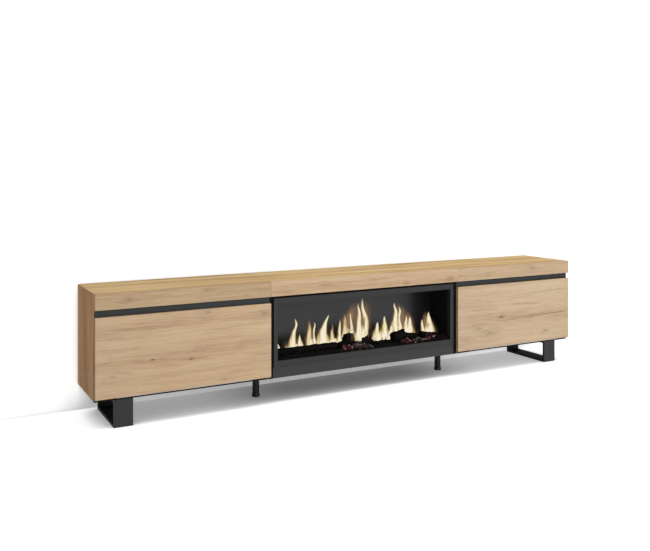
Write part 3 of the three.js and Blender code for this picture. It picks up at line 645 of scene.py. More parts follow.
@dataclass
class Board:
    """A melamine board with eased edges and a glued edge band, made to the box of its node.

    The side that the inner direction points to along the thin axis carries the band's finish too.
    """

    node: str
    name: str
    slot: str
    face: Finish
    band: Finish
    thin_axis: int
    upper: Finish | None = None
    front: Finish | None = None
    inner: int = 0
    body: str = "cabinet"
    ease: float = 0.7

    def build(self) -> None:
        """Builds and dresses the board."""
        mesh = bmesh.new()
        block(mesh, *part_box(self.node))
        upper, front = self.upper or self.band, self.front or self.band
        finishes = list(dict.fromkeys((self.face, self.band, upper, front)))
        for face in mesh.faces:
            along = face.normal[self.thin_axis]
            if abs(along) > 0.5:
                finish = self.band if along * self.inner > 0.5 else self.face
            elif face.normal.z > 0.5:
                finish = upper
            else:
                finish = front if face.normal.y < -0.5 else self.band
            face.material_index = finishes.index(finish)
        bevelled(mesh, mesh.edges, self.ease)
        finished(mesh, self.name, self.slot, *finishes, names=[self.node], smooth=None, body=self.body)


@dataclass
class Screws:
    """Pan-head screws with a round socket, all facing one way, as one piece.

    The crown is the share of the radius that the top has, the rim how much of it lies round the socket, and
    the sink the share of the height that the socket goes down.
    """

    name: str
    metal: Finish
    spots: Iterable[Vector]
    out: Vector
    radius: float
    height: float
    body: str = "cabinet"
    sides: int = 18
    crown: float = 0.72
    rim: float = 0.32
    sink: float = 0.5

    def build(self) -> None:
        """Builds the heads."""
        mesh = bmesh.new()
        turn = self.out.to_track_quat("Z", "Y").to_matrix().to_4x4()
        for spot in self.spots:
            made = bmesh.ops.create_cone(
                mesh, cap_ends=True, cap_tris=False, segments=self.sides, radius1=self.radius * MM,
                radius2=self.radius * self.crown * MM, depth=self.height * MM,
                matrix=Matrix.Translation(spot + self.out * self.height * MM / 2) @ turn,
            )["verts"]
            tops = {
                face for vert in made for face in vert.link_faces
                if face.normal.dot(self.out) > 0.9 and len(face.verts) == self.sides
            }
            for top in tops:
                bmesh.ops.inset_region(mesh, faces=[top], thickness=self.radius * self.rim * MM)
                bmesh.ops.translate(mesh, verts=top.verts, vec=-self.out * self.height * self.sink * MM)
        finished(mesh, self.name, "zinc_steel", self.metal, body=self.body)


def hollowed(mesh: Mesh, axis: int, frame_width: float) -> list[bmesh.types.BMFace]:
    """Insets the two ends of a block.

    Args:
        mesh: The mesh of the block.
        axis: The axis that the ends lie across.
        frame_width: How far in the inset goes, in millimetres.

    Returns:
        The inset ends.
    """
    ends = [face for face in mesh.faces if abs(face.normal[axis]) > 0.5]
    for end in ends:
        bmesh.ops.inset_region(mesh, faces=[end], thickness=frame_width * MM, use_even_offset=True)
    return ends


def opened(mesh: Mesh, ends: list[bmesh.types.BMFace]) -> None:
    """Takes out two opposite faces and joins their rims, which leaves a closed loop of bar.

    Args:
        mesh: The mesh of the bar.
        ends: The faces.
    """
    rims = [edge for end in ends for edge in end.edges]
    bmesh.ops.delete(mesh, geom=ends, context="FACES_ONLY")
    bmesh.ops.bridge_loops(mesh, edges=rims)
    bmesh.ops.recalc_face_normals(mesh, faces=mesh.faces)


def sharp(mesh: Mesh) -> list[bmesh.types.BMEdge]:
    """The edges between faces that meet at more than 1 radian."""
    return [edge for edge in mesh.edges if edge.calc_face_angle(0.0) > 1.0]


@dataclass
class SledLeg:
    """A sled leg: a closed loop of flat steel bar, screwed up into the stand's bottom."""

    side: Side
    shared: "Finishes"
    bar: float = 12.0
    ease: float = 1.2
    screw_rows: tuple[float, ...] = (-22, 22)
    screw_places: tuple[float, ...] = (-118, -40, 40, 118)

    def build(self) -> None:
        """Builds the loop and the screws through its upper bar."""
        label = self.side.label
        node = f"{label}_sled_leg"
        low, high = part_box(node)
        mesh = bmesh.new()
        block(mesh, low, high)
        opened(mesh, hollowed(mesh, 0, self.bar))
        middle = Vector((low + high) / 2)
        # Painted shade: faces looking into the loop and the end faces along X get the near-black finish.
        for face in mesh.faces:
            inwards = face.normal.dot(middle - face.calc_center_median()) > 0
            face.material_index = int(inwards or abs(face.normal.x) > 0.5)
        bevelled(mesh, sharp(mesh), self.ease)
        finished(
            mesh, f"{label}_sled_loop", "black_steel", self.shared.steel, self.shared.shade, names=[node],
            smooth=None,
        )
        top = high.z - self.bar * MM
        spots = [
            Vector((middle.x + row * MM, place * MM, top))
            for row in self.screw_rows for place in self.screw_places
        ]
        Screws(f"{label}_sled_screws", self.shared.zinc, spots, DOWN, 4.5, 1.6).build()


@dataclass
class MiddleFoot:
    """A round foot with a flange above, bored for the stud of the levelling pad that slides up over it."""

    side: Side
    shared: "Finishes"
    flange: float = 28.0
    stem: float = 16.0
    pad: float = 18.5
    pad_height: float = 14.0
    stud: float = 5.0
    stud_height: float = 40.0
    travel: float = 8.0
    play: float = 0.4
    screw_circle: float = 23.5

    def build(self) -> None:
        """Builds the stem, the pad and the flange's screws."""
        label = self.side.label
        low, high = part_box(f"{label}_foot_stem")
        centre = Vector(((low.x + high.x) / 2, (low.y + high.y) / 2, 0.0))
        bottom, top = low.z / MM, high.z / MM
        bore, bore_top = self.stud + self.play, self.stud_height + self.travel + self.play
        cup, rim = self.stem + self.play, self.pad_height
        tube_profile = (
            (0, bore_top), (bore, bore_top), (bore, bottom), (self.stem - 1, bottom), (self.stem, bottom + 1),
            (self.stem, top - 16), (self.stem + 0.8, top - 10), (self.stem + 3.5, top - 5),
            (self.stem + 6, top - 3.2), (self.flange - 0.8, top - 3), (self.flange, top - 2.2),
            (self.flange, top - 0.05), (0, top - 0.05),
        )
        cup_profile = (
            (0, 0), (self.pad - 1.5, 0), (self.pad, 1.5), (self.pad, rim - 2), (self.pad - 0.8, rim - 0.4),
            (self.stem + 0.9, rim), (cup, rim - 0.6), (cup, 4), (self.stud, 4),
            (self.stud, self.stud_height - 1), (self.stud - 1, self.stud_height), (0, self.stud_height),
        )
        for part, profile, node, body in (
            ("tube", tube_profile, "stem", "cabinet"),
            ("cup", cup_profile, "pad", f"{label}_foot_pad_body"),
        ):
            finished(
                spun(profile, centre, UP), f"{label}_foot_{part}", "black_plastic", self.shared.foot,
                names=[f"{label}_foot_{node}"], body=body,
            )
        spots = [
            centre + mm(math.cos(turn) * self.screw_circle, math.sin(turn) * self.screw_circle, top - 3)
            for turn in (math.pi / 4 + quarter * math.pi / 2 for quarter in range(4))
        ]
        Screws(f"{label}_foot_screws", self.shared.zinc, spots, DOWN, 2.6, 1.2).build()


@dataclass
class Cupboard:
    """One end cupboard: its boards, its door, its hinge and stay fittings and its cable hole."""

    side: Side
    shared: "Finishes"
    door: OakMelamine
    fascia: OakMelamine
    hinge_screws: int = 6
    floor_row: float = -138.0
    door_row: float = -157.8
    lug_row: float = -157.0
    leaf_inset: float = 14.0
    wall_plate: float = 1282.0
    plate_inset: float = 6.0
    lug_inset: float = 7.0
    hole: tuple[float, float] = (912.5, 220.0)

    def build(self) -> None:
        """Builds the boards and the fittings, and dresses the nodes that stay."""
        label, shared = self.side.label, self.shared
        seed = self.door.shift[0]
        # Painted warm shade: the end boards carry a browner, more saturated copy of the oak, with almost no
        # shine.
        end = OakMelamine(
            f"oak_melamine_{label}_side", Grain.UPRIGHT, (0xEABE8E, 0xD09C6A, 0x7C562F),
            shift=(seed + 2, seed + 1, seed), bands=1.0, shine=0.02,
        )
        edge = OakMelamine(
            f"oak_melamine_{label}_edge", tones=(0xD6B48B, 0xC3A077, 0x94704A),
            shift=(seed, seed + 2, seed + 1), shine=0.05,
        )
        flap = f"{label}_flap"
        Board(f"{label}_door", f"{label}_door_board", "oak", self.door, edge, 1, body=flap).build()
        for node, name, slot, face, band, thin_axis, more in (
            ("fascia", "fascia_board", "oak", self.fascia, edge, 1, {}),
            (
                "inner_side", "partition", "dark_board", shared.dark_board, shared.dark_board, 0,
                {"front": shared.front_band},
            ),
            (
                "outer_side", "end_board", "oak", end, shared.edge_band, 0,
                {"upper": shared.top, "front": shared.front_band, "inner": -self.side.value},
            ),
            ("top", "top_board", "oak_top", shared.top, shared.edge_band, 2, {}),
            # The bottom board's front edge gets the near-black low band: painted shade under the door.
            (
                "bottom", "bottom_board", "dark_board", shared.dark_board, shared.dark_board, 2,
                {"front": shared.low_shadow_band},
            ),
        ):
            Board(f"{label}_{node}", f"{label}_{name}", slot, face, band, thin_axis, **more).build()
        dress(f"{label}_back", shared.hardboard)
        dress(f"{label}_groove_rail", shared.groove_board)
        for part in (
            "hinge_fixed_leaf", "hinge_door_leaf", "stay_side_bracket", "stay_arm", "stay_link",
            "stay_door_bracket",
        ):
            dress(f"{label}_{part}", shared.zinc)
        self.fit_screws()
        self.fit_grommet()

    def fit_screws(self) -> None:
        """Adds the screws of the hinge's leaves and the stay's brackets."""
        label, sign = self.side.label, self.side.value
        low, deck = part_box(f"{label}_hinge_fixed_leaf")
        _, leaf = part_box(f"{label}_hinge_door_leaf")
        foot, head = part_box(f"{label}_stay_side_bracket")
        inner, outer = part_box(f"{label}_stay_door_bracket")
        flap = f"{label}_flap"
        step = (deck.x - low.x) / self.hinge_screws
        row = [low.x + (index + 0.5) * step for index in range(self.hinge_screws)]
        wall, middle = sign * self.wall_plate * MM, (foot.y + head.y) / 2
        lug = sign * (min(abs(inner.x), abs(outer.x)) + self.lug_inset * MM)
        height = leaf.z - self.leaf_inset * MM
        plate_ends = (foot.z + self.plate_inset * MM, head.z - self.plate_inset * MM)
        lug_ends = (inner.z + self.lug_inset * MM, outer.z - self.lug_inset * MM)
        for part, spots, out, radius, thickness, body in (
            ("hinge_floor", [(x, self.floor_row * MM, deck.z) for x in row], UP, 3.4, 1.1, "cabinet"),
            ("hinge_door", [(x, self.door_row * MM, height) for x in row], BACKWARD, 3.4, 1.1, flap),
            (
                "stay_side", [(wall, middle, z) for z in plate_ends], Vector((-sign, 0, 0)), 3.0, 0.3,
                "cabinet",
            ),
            ("stay_door", [(lug, self.lug_row * MM, z) for z in lug_ends], BACKWARD, 3.2, 1.1, flap),
        ):
            places = [Vector(spot) for spot in spots]
            Screws(f"{label}_{part}_screws", self.shared.zinc, places, out, radius, thickness, body).build()

    def fit_grommet(self) -> None:
        """Adds the plastic ring in the back board's cable hole."""
        ring = (
            (29.4, 169.6), (34, 169.6), (35.5, 170.4), (35.5, 171.9), (29.5, 171.9), (29.5, 174.6),
            (26.6, 174.6), (26.6, 170.6), (29.4, 169.6),
        )
        centre = mm(self.side.value * self.hole[0], 0.0, self.hole[1])
        name = f"{self.side.label}_cable_grommet"
        finished(spun(ring, centre, BACKWARD), name, "black_plastic", self.shared.plastic)


@dataclass
class MiddleModule:
    """The boards round the fire."""

    shared: "Finishes"
    fascia: OakMelamine

    def build(self) -> None:
        """Builds the oak boards and the apron, and dresses the rest."""
        shared = self.shared
        Board("middle_fascia", "middle_fascia_board", "oak", self.fascia, self.fascia, 1).build()
        Board("middle_top", "middle_top_board", "oak_top", shared.top, shared.edge_band, 2).build()
        Board("apron", "apron_board", "black_board", shared.apron_board, shared.apron_board, 1).build()
        # The fire's side boards and the rail above it are near-black: painted shadow of the recess.
        for part, finish in (
            ("bottom", shared.dark_board), ("left_side", shared.shadow_rail_board),
            ("right_side", shared.shadow_rail_board), ("back", shared.hardboard), ("top_rail", shared.shadow_rail_board),
        ):
            dress(f"middle_{part}", finish)


@dataclass
class Bezel:
    """The fire's front frame: a folded steel ring with eased edges and a collar behind it."""

    steel: Finish
    side: float = 20.0
    rail: float = 27.0
    face: float = 4.0
    sheet: float = 1.5
    ease: float = 0.8
    gap: float = 3.5

    def build(self) -> None:
        """Builds the ring and its collar as one folded piece, with a thin gap at either side."""
        low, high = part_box("bezel")
        low.x += self.gap * MM
        high.x -= self.gap * MM
        mesh = bmesh.new()
        front = Vector((high.x, low.y + self.face * MM, high.z))
        block(mesh, low, front)
        panes = hollowed(mesh, 1, self.side)
        taller = (self.rail - self.side) * MM
        for pane in panes:
            for vert in pane.verts:
                vert.co.z += taller if vert.co.z < (low.z + high.z) / 2 else -taller
        opened(mesh, panes)
        bevelled(mesh, sharp(mesh), self.ease)
        inset = mm(self.side, 0.0, self.rail)
        collar = block(mesh, Vector((low.x, front.y - 0.5 * MM, low.z)) + inset, high - inset)
        sides = {face for vert in collar for face in vert.link_faces}
        ends = [face for face in sides if abs(face.normal.y) > 0.5]
        walls = [face for face in sides if face not in ends]
        bmesh.ops.delete(mesh, geom=ends, context="FACES_ONLY")
        bmesh.ops.reverse_faces(mesh, faces=walls)
        edges = list({edge for wall in walls for edge in wall.edges})
        verts = list({vert for wall in walls for vert in wall.verts})
        bmesh.ops.solidify(mesh, geom=walls + edges + verts, thickness=self.sheet * MM)
        finished(mesh, "bezel_frame", "black_steel", self.steel, names=["bezel"], smooth=None)


@dataclass
class Log:
    """A moulded log: a knobbly, ridged, burnt branch that fills a box.

    The taper is the share that is burnt off its right end, or off its left end where it is below 0.
    """

    name: str
    low: Vector
    high: Vector
    seed: float
    char: Finish
    names: Sequence[str] = ()
    taper: float = 0.0
    tilt: float = 0.0
    rings: int = 46
    segments: int = 30
    knobs: float = 0.22
    ridges: float = 0.26
    flakes: float = 0.1

    def build(self) -> None:
        """Builds the log from a cylinder of length and width 1."""
        mesh = bmesh.new()
        bmesh.ops.create_cone(
            mesh, cap_ends=True, cap_tris=False, segments=self.segments, radius1=0.5, radius2=0.5,
            depth=1.0, matrix=Matrix.Rotation(math.pi / 2, 4, "Y"),
        )
        long_edges = [edge for edge in mesh.edges if abs(edge.verts[0].co.x - edge.verts[1].co.x) > 0.5]
        bmesh.ops.subdivide_edges(mesh, edges=long_edges, cuts=self.rings, use_grid_fill=True)
        for cap in [face for face in mesh.faces if len(face.verts) == self.segments]:
            for share in (0.18, 0.22, 0.3):
                bmesh.ops.inset_region(mesh, faces=[cap], thickness=0.5 * share)
        for vert in mesh.verts:
            vert.co = self.burnt(*vert.co)
        bmesh.ops.recalc_face_normals(mesh, faces=mesh.faces)
        finished(mesh, self.name, "moulded_coal", self.char, names=self.names, smooth=55.0)

    def burnt(self, along: float, y: float, z: float) -> Vector:
        """Finds where a point of the cylinder lies on the burnt log.

        Args:
            along: The point's place along the cylinder, from -0.5 to 0.5.
            y: Its place across.
            z: Its height.

        Returns:
            Its place in the stand, in metres.
        """
        length, depth, height = self.high - self.low
        turn = math.atan2(z, y)
        cos, sin, seed = math.cos(turn), math.sin(turn), self.seed
        broad = Vector((along * length / (30 * MM) + seed, cos * 1.2, sin * 1.2)) * 0.7
        bulge = noise.fractal(broad, 1.0, 2.0, 3)
        ridge = abs(noise.noise(Vector((along * 3.0 + seed, cos * 4.5, sin * 4.5))))
        flake = noise.noise(Vector((along * length / (11 * MM) + seed, turn * 2.2, seed)))
        gone = self.taper * (along + math.copysign(0.5, self.taper))
        rough = 0.94 + self.knobs * bulge - self.ridges * ridge + self.flakes * flake
        radius = math.hypot(y, z) * rough * (1 - gone)
        torn = noise.noise(Vector((seed, y * 6, z * 6))) * 0.03 if abs(along) > 0.49 else 0.0
        bend = math.sin(along * 2.6 + seed) * height * 0.08 + self.tilt * along * length
        rise = sin * radius * height + bend - gone * height * 0.4
        spot = Vector((along * (0.97 + torn) * length, cos * radius * depth, max(rise, -height / 2)))
        return (self.low + self.high) / 2 + spot


@dataclass
class EmberBed:
    """The moulded bed: an uneven tray of cinders with lumps of coal lying on it.

    Heaps of coal are given by x and spread, those of embers and cinders by x, y and height, all in mm.
    """

    shared: "Finishes"
    embers: tuple[Point, ...] = (
        (-116, -145, 16), (-106, -144, 24), (220, -143, 16), (234, -142, 24), (352, -140, 14),
        (372, -136, 30), (388, -134, 32),
    )
    cinders: tuple[Point, ...] = (
        (-64, -142, 30), (-46, -141, 38), (-24, -142, 30), (2, -143, 16), (296, -142, 18),
    )
    heaps: tuple[tuple[float, float], ...] = (
        (-430, 14), (-300, 12), (-120, 22), (-10, 24), (70, 18), (225, 26), (300, 20), (395, 24),
        (455, 20),
    )
    coals: int = 190
    crumbs: int = 120
    lumps: int = 12
    plate: float = 8.0
    level: float = 4.2
    swell: float = 3.6
    grit: float = 1.4

    def height(self, x: float, y: float) -> float:
        """Finds the tray's unevenness.

        Args:
            x: The place's x, in metres.
            y: Its y.

        Returns:
            The tray's height above its plate, in metres.
        """
        broad = Vector((x / (38 * MM), y / (38 * MM), 1.7))
        fine = Vector((x / (9 * MM), y / (9 * MM), 4.1))
        rise = self.swell * noise.fractal(broad, 1.0, 2.0, 3) + self.grit * noise.noise(fine)
        return (self.level + rise) * MM

    def build(self) -> None:
        """Builds the tray and the coals."""
        low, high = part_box("ember_bed")
        plate = low.z + self.plate * MM
        middle, half = (low + high) / 2, (high - low) / 2
        stretch = Matrix.Diagonal((half.x, half.y, 1.0, 1.0))
        placing = Matrix.Translation((middle.x, middle.y, plate)) @ stretch
        mesh = bmesh.new()
        bmesh.ops.create_grid(mesh, x_segments=190, y_segments=34, size=1.0, matrix=placing)
        rim = [edge for edge in mesh.edges if edge.is_boundary]
        skirt = bmesh.ops.extrude_edge_only(mesh, edges=rim)["geom"]
        for vert in (item for item in skirt if isinstance(item, bmesh.types.BMVert)):
            vert.co.z = low.z
        for vert in mesh.verts:
            if vert.co.z > plate - MM:
                edge = min(half.x - abs(vert.co.x - middle.x), half.y - abs(vert.co.y - middle.y))
                vert.co.z += max(0.2 * MM, self.height(vert.co.x, vert.co.y) * min(1.0, edge / (8 * MM)))
        bmesh.ops.contextual_create(mesh, geom=[edge for edge in mesh.edges if edge.is_boundary])
        bmesh.ops.recalc_face_normals(mesh, faces=mesh.faces)
        finished(mesh, "ember_tray", "moulded_coal", self.shared.char, names=["ember_bed"], smooth=60.0)
        self.strew(low, high, plate)
        self.heap("glowing_embers", self.embers, self.shared.ember, low, 5)
        self.heap("ashen_cinders", self.cinders, self.shared.ash, low, 12)

    def strew(self, low: Vector, high: Vector, plate: float) -> None:
        """Lays the lumps of coal, closer together in the heaps, and a row of crumbs along the front.

        Args:
            low: The bed's lowest corner.
            high: Its highest corner.
            plate: The height of its plate.
        """
        dice = random.Random(27)
        mesh = bmesh.new()
        for index in range(self.coals):
            if index % 3:
                heap, spread = dice.choice(self.heaps)
                x = (heap + dice.gauss(0.0, spread)) * MM
            else:
                x = dice.uniform(low.x + 10 * MM, high.x - 10 * MM)
            y = dice.choice((dice.uniform(-146, -112), dice.uniform(-80, 6), dice.uniform(-140, -60))) * MM
            radius = dice.choice((4.0, 5.5, 7.0, 9.0, 11.5)) * dice.uniform(0.85, 1.15) * MM
            x = min(max(x, low.x + radius), high.x - radius)
            y = min(max(y, low.y + radius), high.y - radius)
            lift = plate + 3 * MM + radius * dice.uniform(0.15, 0.6)
            self.lump(mesh, dice, Vector((x, y, lift)), radius)
        for _ in range(self.crumbs):
            radius = dice.uniform(2.6, 4.8) * MM
            x = dice.uniform(low.x + 2 * radius, high.x - 2 * radius)
            z = dice.uniform(low.z + radius, plate + 2 * MM)
            self.lump(mesh, dice, Vector((x, low.y + MM, z)), radius)
        finished(mesh, "coal_lumps", "moulded_coal", self.shared.char, smooth=None)

    def lump(self, mesh: Mesh, dice: random.Random, spot: Vector, radius: float) -> None:
        """Adds one uneven lump of coal, turned at random.

        Args:
            mesh: The mesh that takes it.
            dice: What gives its turn and shape.
            spot: Its middle.
            radius: Its radius, in metres.
        """
        turn = Matrix.Rotation(dice.uniform(0, math.tau), 4, Vector((dice.random(), dice.random(), 1.0)))
        sizes = [dice.uniform(*span) for span in ((0.9, 1.4), (0.7, 1.0), (0.6, 0.95))]
        shape = Matrix.Diagonal((*sizes, 1.0))
        made = bmesh.ops.create_icosphere(
            mesh, subdivisions=2, radius=radius, matrix=Matrix.Translation(spot) @ turn @ shape,
        )["verts"]
        for vert in made:
            vert.co += (vert.co - spot) * (0.35 * noise.noise(vert.co / (6 * MM)))

    def heap(self, name: str, places: tuple[Point, ...], finish: Finish, low: Vector, seed: int) -> None:
        """Lays lumps in heaps along the front.

        Args:
            name: The piece's name.
            places: The heaps.
            finish: The finish of the lumps.
            low: The bed's lowest corner.
            seed: Where the dice start.
        """
        dice = random.Random(seed)
        mesh = bmesh.new()
        for x, y, height in (place for place in places for _ in range(self.lumps)):
            radius = dice.uniform(5.5, 10.5) * MM
            off = dice.uniform(-1.0, 1.0)
            rise = dice.uniform(0.0, 0.85) * (1.0 - off * off) * height
            spot = mm(x + off * 24.0, y + dice.gauss(0.0, 4.0), low.z / MM + 7.0 + rise)
            spot.y = max(spot.y, low.y - 4.5 * MM + radius)
            self.lump(mesh, dice, spot, radius)
        finished(mesh, name, "moulded_coal", finish, smooth=None)


class Heat(Enum):
    """How a tongue of flame looks: the brown haze behind, an amber body, or a bright one."""

    HAZE = FlameLight("flame_light_haze", 0x8E7458, 0x765C46, 0x54443A, 0.95, 1.0, 0.6, 0.2)
    AMBER = FlameLight("flame_light_amber", 0xEAD9B0, 0xB08A52, 0x5E4634, 0.9, 0.8, 0.75, 0.8)
    BRIGHT = FlameLight("flame_light_bright")


@dataclass(frozen=True)
class Tongue:
    """One tongue of flame: its depth in the fire, and x, z and width along it from foot to tip, in mm."""

    y: float
    spine: tuple[Point, ...]

    def at(self, share: float) -> Vector:
        """Follows the spine on a smooth curve through its points.

        Args:
            share: The share of its length.

        Returns:
            The x, z and width there.
        """
        last = len(self.spine) - 1
        index = min(int(share * last), last - 1)
        t = share * last - index
        before, start, end, after = (
            Vector(self.spine[min(max(index + step, 0), last)]) for step in (-1, 0, 1, 2)
        )
        return 0.5 * (
            2 * start + (end - before) * t + (2 * before - 5 * start + 4 * end - after) * t * t
            + (3 * start - before - 3 * end + after) * t ** 3
        )


@dataclass(frozen=True)
class Ribbon:
    """How a sheet follows its tongue: its share of the width, its sway sideways and its step forwards."""

    share: float = 1.0
    sway: float = 0.0
    forward: float = 0.0


@dataclass
class Flames:
    """The fire's image of flames: upright tongues between the logs and the screen."""

    tongues: dict[Heat, tuple[Tongue, ...]]
    glow: Finish = FlameLight("flame_light_glow", 0x7E6342, 0x624D38, 0x483C34, 0.5, 1.0, 0.7)
    strand: Finish = FlameLight("flame_light_strand", 0xF6EED6, 0xEEDDB0, 0xD8BC80, 0.9, 0.9)
    columns: int = 10
    rows: int = 36
    widen: float = 1.3
    foot: float = 0.5

    def build(self) -> None:
        """Builds one piece for each heat, the glow behind them and the bright strands in them."""
        for heat in Heat:
            self.lay(f"{heat.name.lower()}_flames", heat.value, self.tongues[heat], Ribbon())
        bright = self.tongues[Heat.BRIGHT]
        tall = [tongue for tongue in self.tongues[Heat.AMBER] + bright if len(tongue.spine) > 3]
        self.lay("flame_glow", self.glow, tall, Ribbon(1.75, 0.0, -4.0))
        self.lay("flame_strands", self.strand, bright, Ribbon(0.46, -0.16, 3.0), Ribbon(0.4, 0.2, 4.5))

    def lay(self, name: str, finish: Finish, tongues: Sequence[Tongue], *ribbons: Ribbon) -> None:
        """Builds one piece of flame.

        Args:
            name: The piece's name.
            finish: Its light.
            tongues: The tongues that it follows.
            ribbons: The sheets along each of them.
        """
        mesh = bmesh.new()
        uv = mesh.loops.layers.uv.new("tongue")
        for tongue in tongues:
            for ribbon in ribbons:
                self.add(mesh, uv, tongue, ribbon)
        piece = finished(mesh, name, "smoked_screen", finish, smooth=180.0)
        piece.visible_shadow = False
        piece.visible_glossy = False

    def add(self, mesh: Mesh, uv: bmesh.types.BMLayerItem, tongue: Tongue, ribbon: Ribbon) -> None:
        """Adds one curved, tapering sheet.

        Args:
            mesh: The mesh that takes it.
            uv: The layer that holds the place across and along the tongue.
            tongue: Its spine.
            ribbon: How the sheet follows it.
        """
        made = bmesh.ops.create_grid(
            mesh, x_segments=self.columns, y_segments=self.rows, size=0.5, matrix=Matrix.Identity(4),
        )["verts"]
        places = {vert: (vert.co.x + 0.5, vert.co.y + 0.5) for vert in made}
        for face in {face for vert in made for face in vert.link_faces}:
            for loop in face.loops:
                loop[uv].uv = places[loop.vert]
        for vert, (across, along) in places.items():
            x, z, width = tongue.at(along)
            x += ribbon.sway * width * math.sin(along * 7.0 + tongue.spine[0][0])
            spread = self.widen * ribbon.share * (1 + self.foot * (1 - along) ** 3)
            width = max(width, 5.0 - 3.5 * along) * spread
            bow = math.cos((across - 0.5) * math.pi) * min(6.0, width * 0.2) + ribbon.forward
            vert.co = mm(x + (across - 0.5) * width, tongue.y - bow, z)


@dataclass
class Fire:
    """The fire insert: frame, housing, screen, bed, logs, flames, lamps, rod, motor and controls."""

    shared: "Finishes"
    tongues: dict[Heat, tuple[Tongue, ...]]
    chips: int = 16
    lens_radius: float = 1.5
    inlet: tuple[float, float, float] = (422.0, 133.8, 178.2)
    blade: tuple[float, float, float] = (2.3, 11.2, 4.3)
    blade_step: float = 7.0

    def build(self) -> None:
        """Builds and dresses the fire, from its frame inwards."""
        shared = self.shared
        Bezel(shared.steel).build()
        for finish, nodes in (
            (shared.housing, (
                "housing_floor", "housing_top", "housing_rear", "housing_left_wall", "housing_right_wall",
                "bed_rail",
            )),
            (shared.screen, ("flame_screen",)), (shared.solder, ("light_board",)),
            (shared.mirror, ("flicker_rod",)), (shared.plastic, ("flicker_motor", "control_box")),
            (shared.gloss, ("rocker_switch",)),
        ):
            for node in nodes:
                dress(node, finish)
        EmberBed(shared).build()
        self.lay_logs()
        Flames(self.tongues).build()
        self.fit_lamps()
        self.fit_controls()

    def lay_logs(self) -> None:
        """Lays the three logs of the bed and the burnt chunks that lean on them."""
        char = self.shared.char
        logs = (("left_log", 1.3, 0.0), ("middle_log", 7.9, -0.55), ("right_log", 14.2, 0.5))
        for node, seed, taper in logs:
            Log(f"{node}_burnt", *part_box(node), seed, char, [node], taper).build()
        for name, low, high, tilt, seed in (
            ("upright", (-99, -116, 206), (-31, -70, 270), 0.2, 3.3),
            ("beside", (-34, -148, 190), (4, -130, 262), 0.1, 17.7),
            ("low", (32, -112, 200), (124, -78, 216), 0.02, 5.1),
            ("right", (344, -112, 200), (452, -70, 232), -0.06, 9.4),
            ("leaning", (196, -84, 214), (262, -48, 250), 0.12, 11.8),
        ):
            Log(f"chunk_{name}", mm(*low), mm(*high), seed, char, tilt=tilt, rings=24, segments=22).build()

    def fit_lamps(self) -> None:
        """Adds a lens on each chip of the light board."""
        low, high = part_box("light_board")
        mesh = bmesh.new()
        for index in range(self.chips):
            x = low.x + (index + 0.5) / self.chips * (high.x - low.x)
            spot = Matrix.Translation((x, (low.y + high.y) / 2, high.z))
            placing = spot @ Matrix.Diagonal((1, 1, 0.5, 1))
            bmesh.ops.create_uvsphere(
                mesh, u_segments=12, v_segments=6, radius=self.lens_radius * MM, matrix=placing,
            )
        finished(mesh, "lamp_lenses", "circuit_board", self.shared.lens)

    def fit_controls(self) -> None:
        """Adds the inlet's brass blades and the screws of the control panel."""
        mesh = bmesh.new()
        half = mm(*self.blade) / 2
        for step in (-1, 0, 1):
            middle = mm(*self.inlet) + mm(step * self.blade_step, 0.0, 0.0)
            corners = block(mesh, middle - half, middle + half)
            bevelled(mesh, {edge for vert in corners for edge in vert.link_edges}, 0.4)
        finished(mesh, "inlet_blades", "mirror_steel", self.shared.brass)
        spots = [mm(x, 142, self.inlet[2]) for x in (403, 444)]
        Screws("panel_screws", self.shared.zinc, spots, BACKWARD, 2.6, 1.2).build()


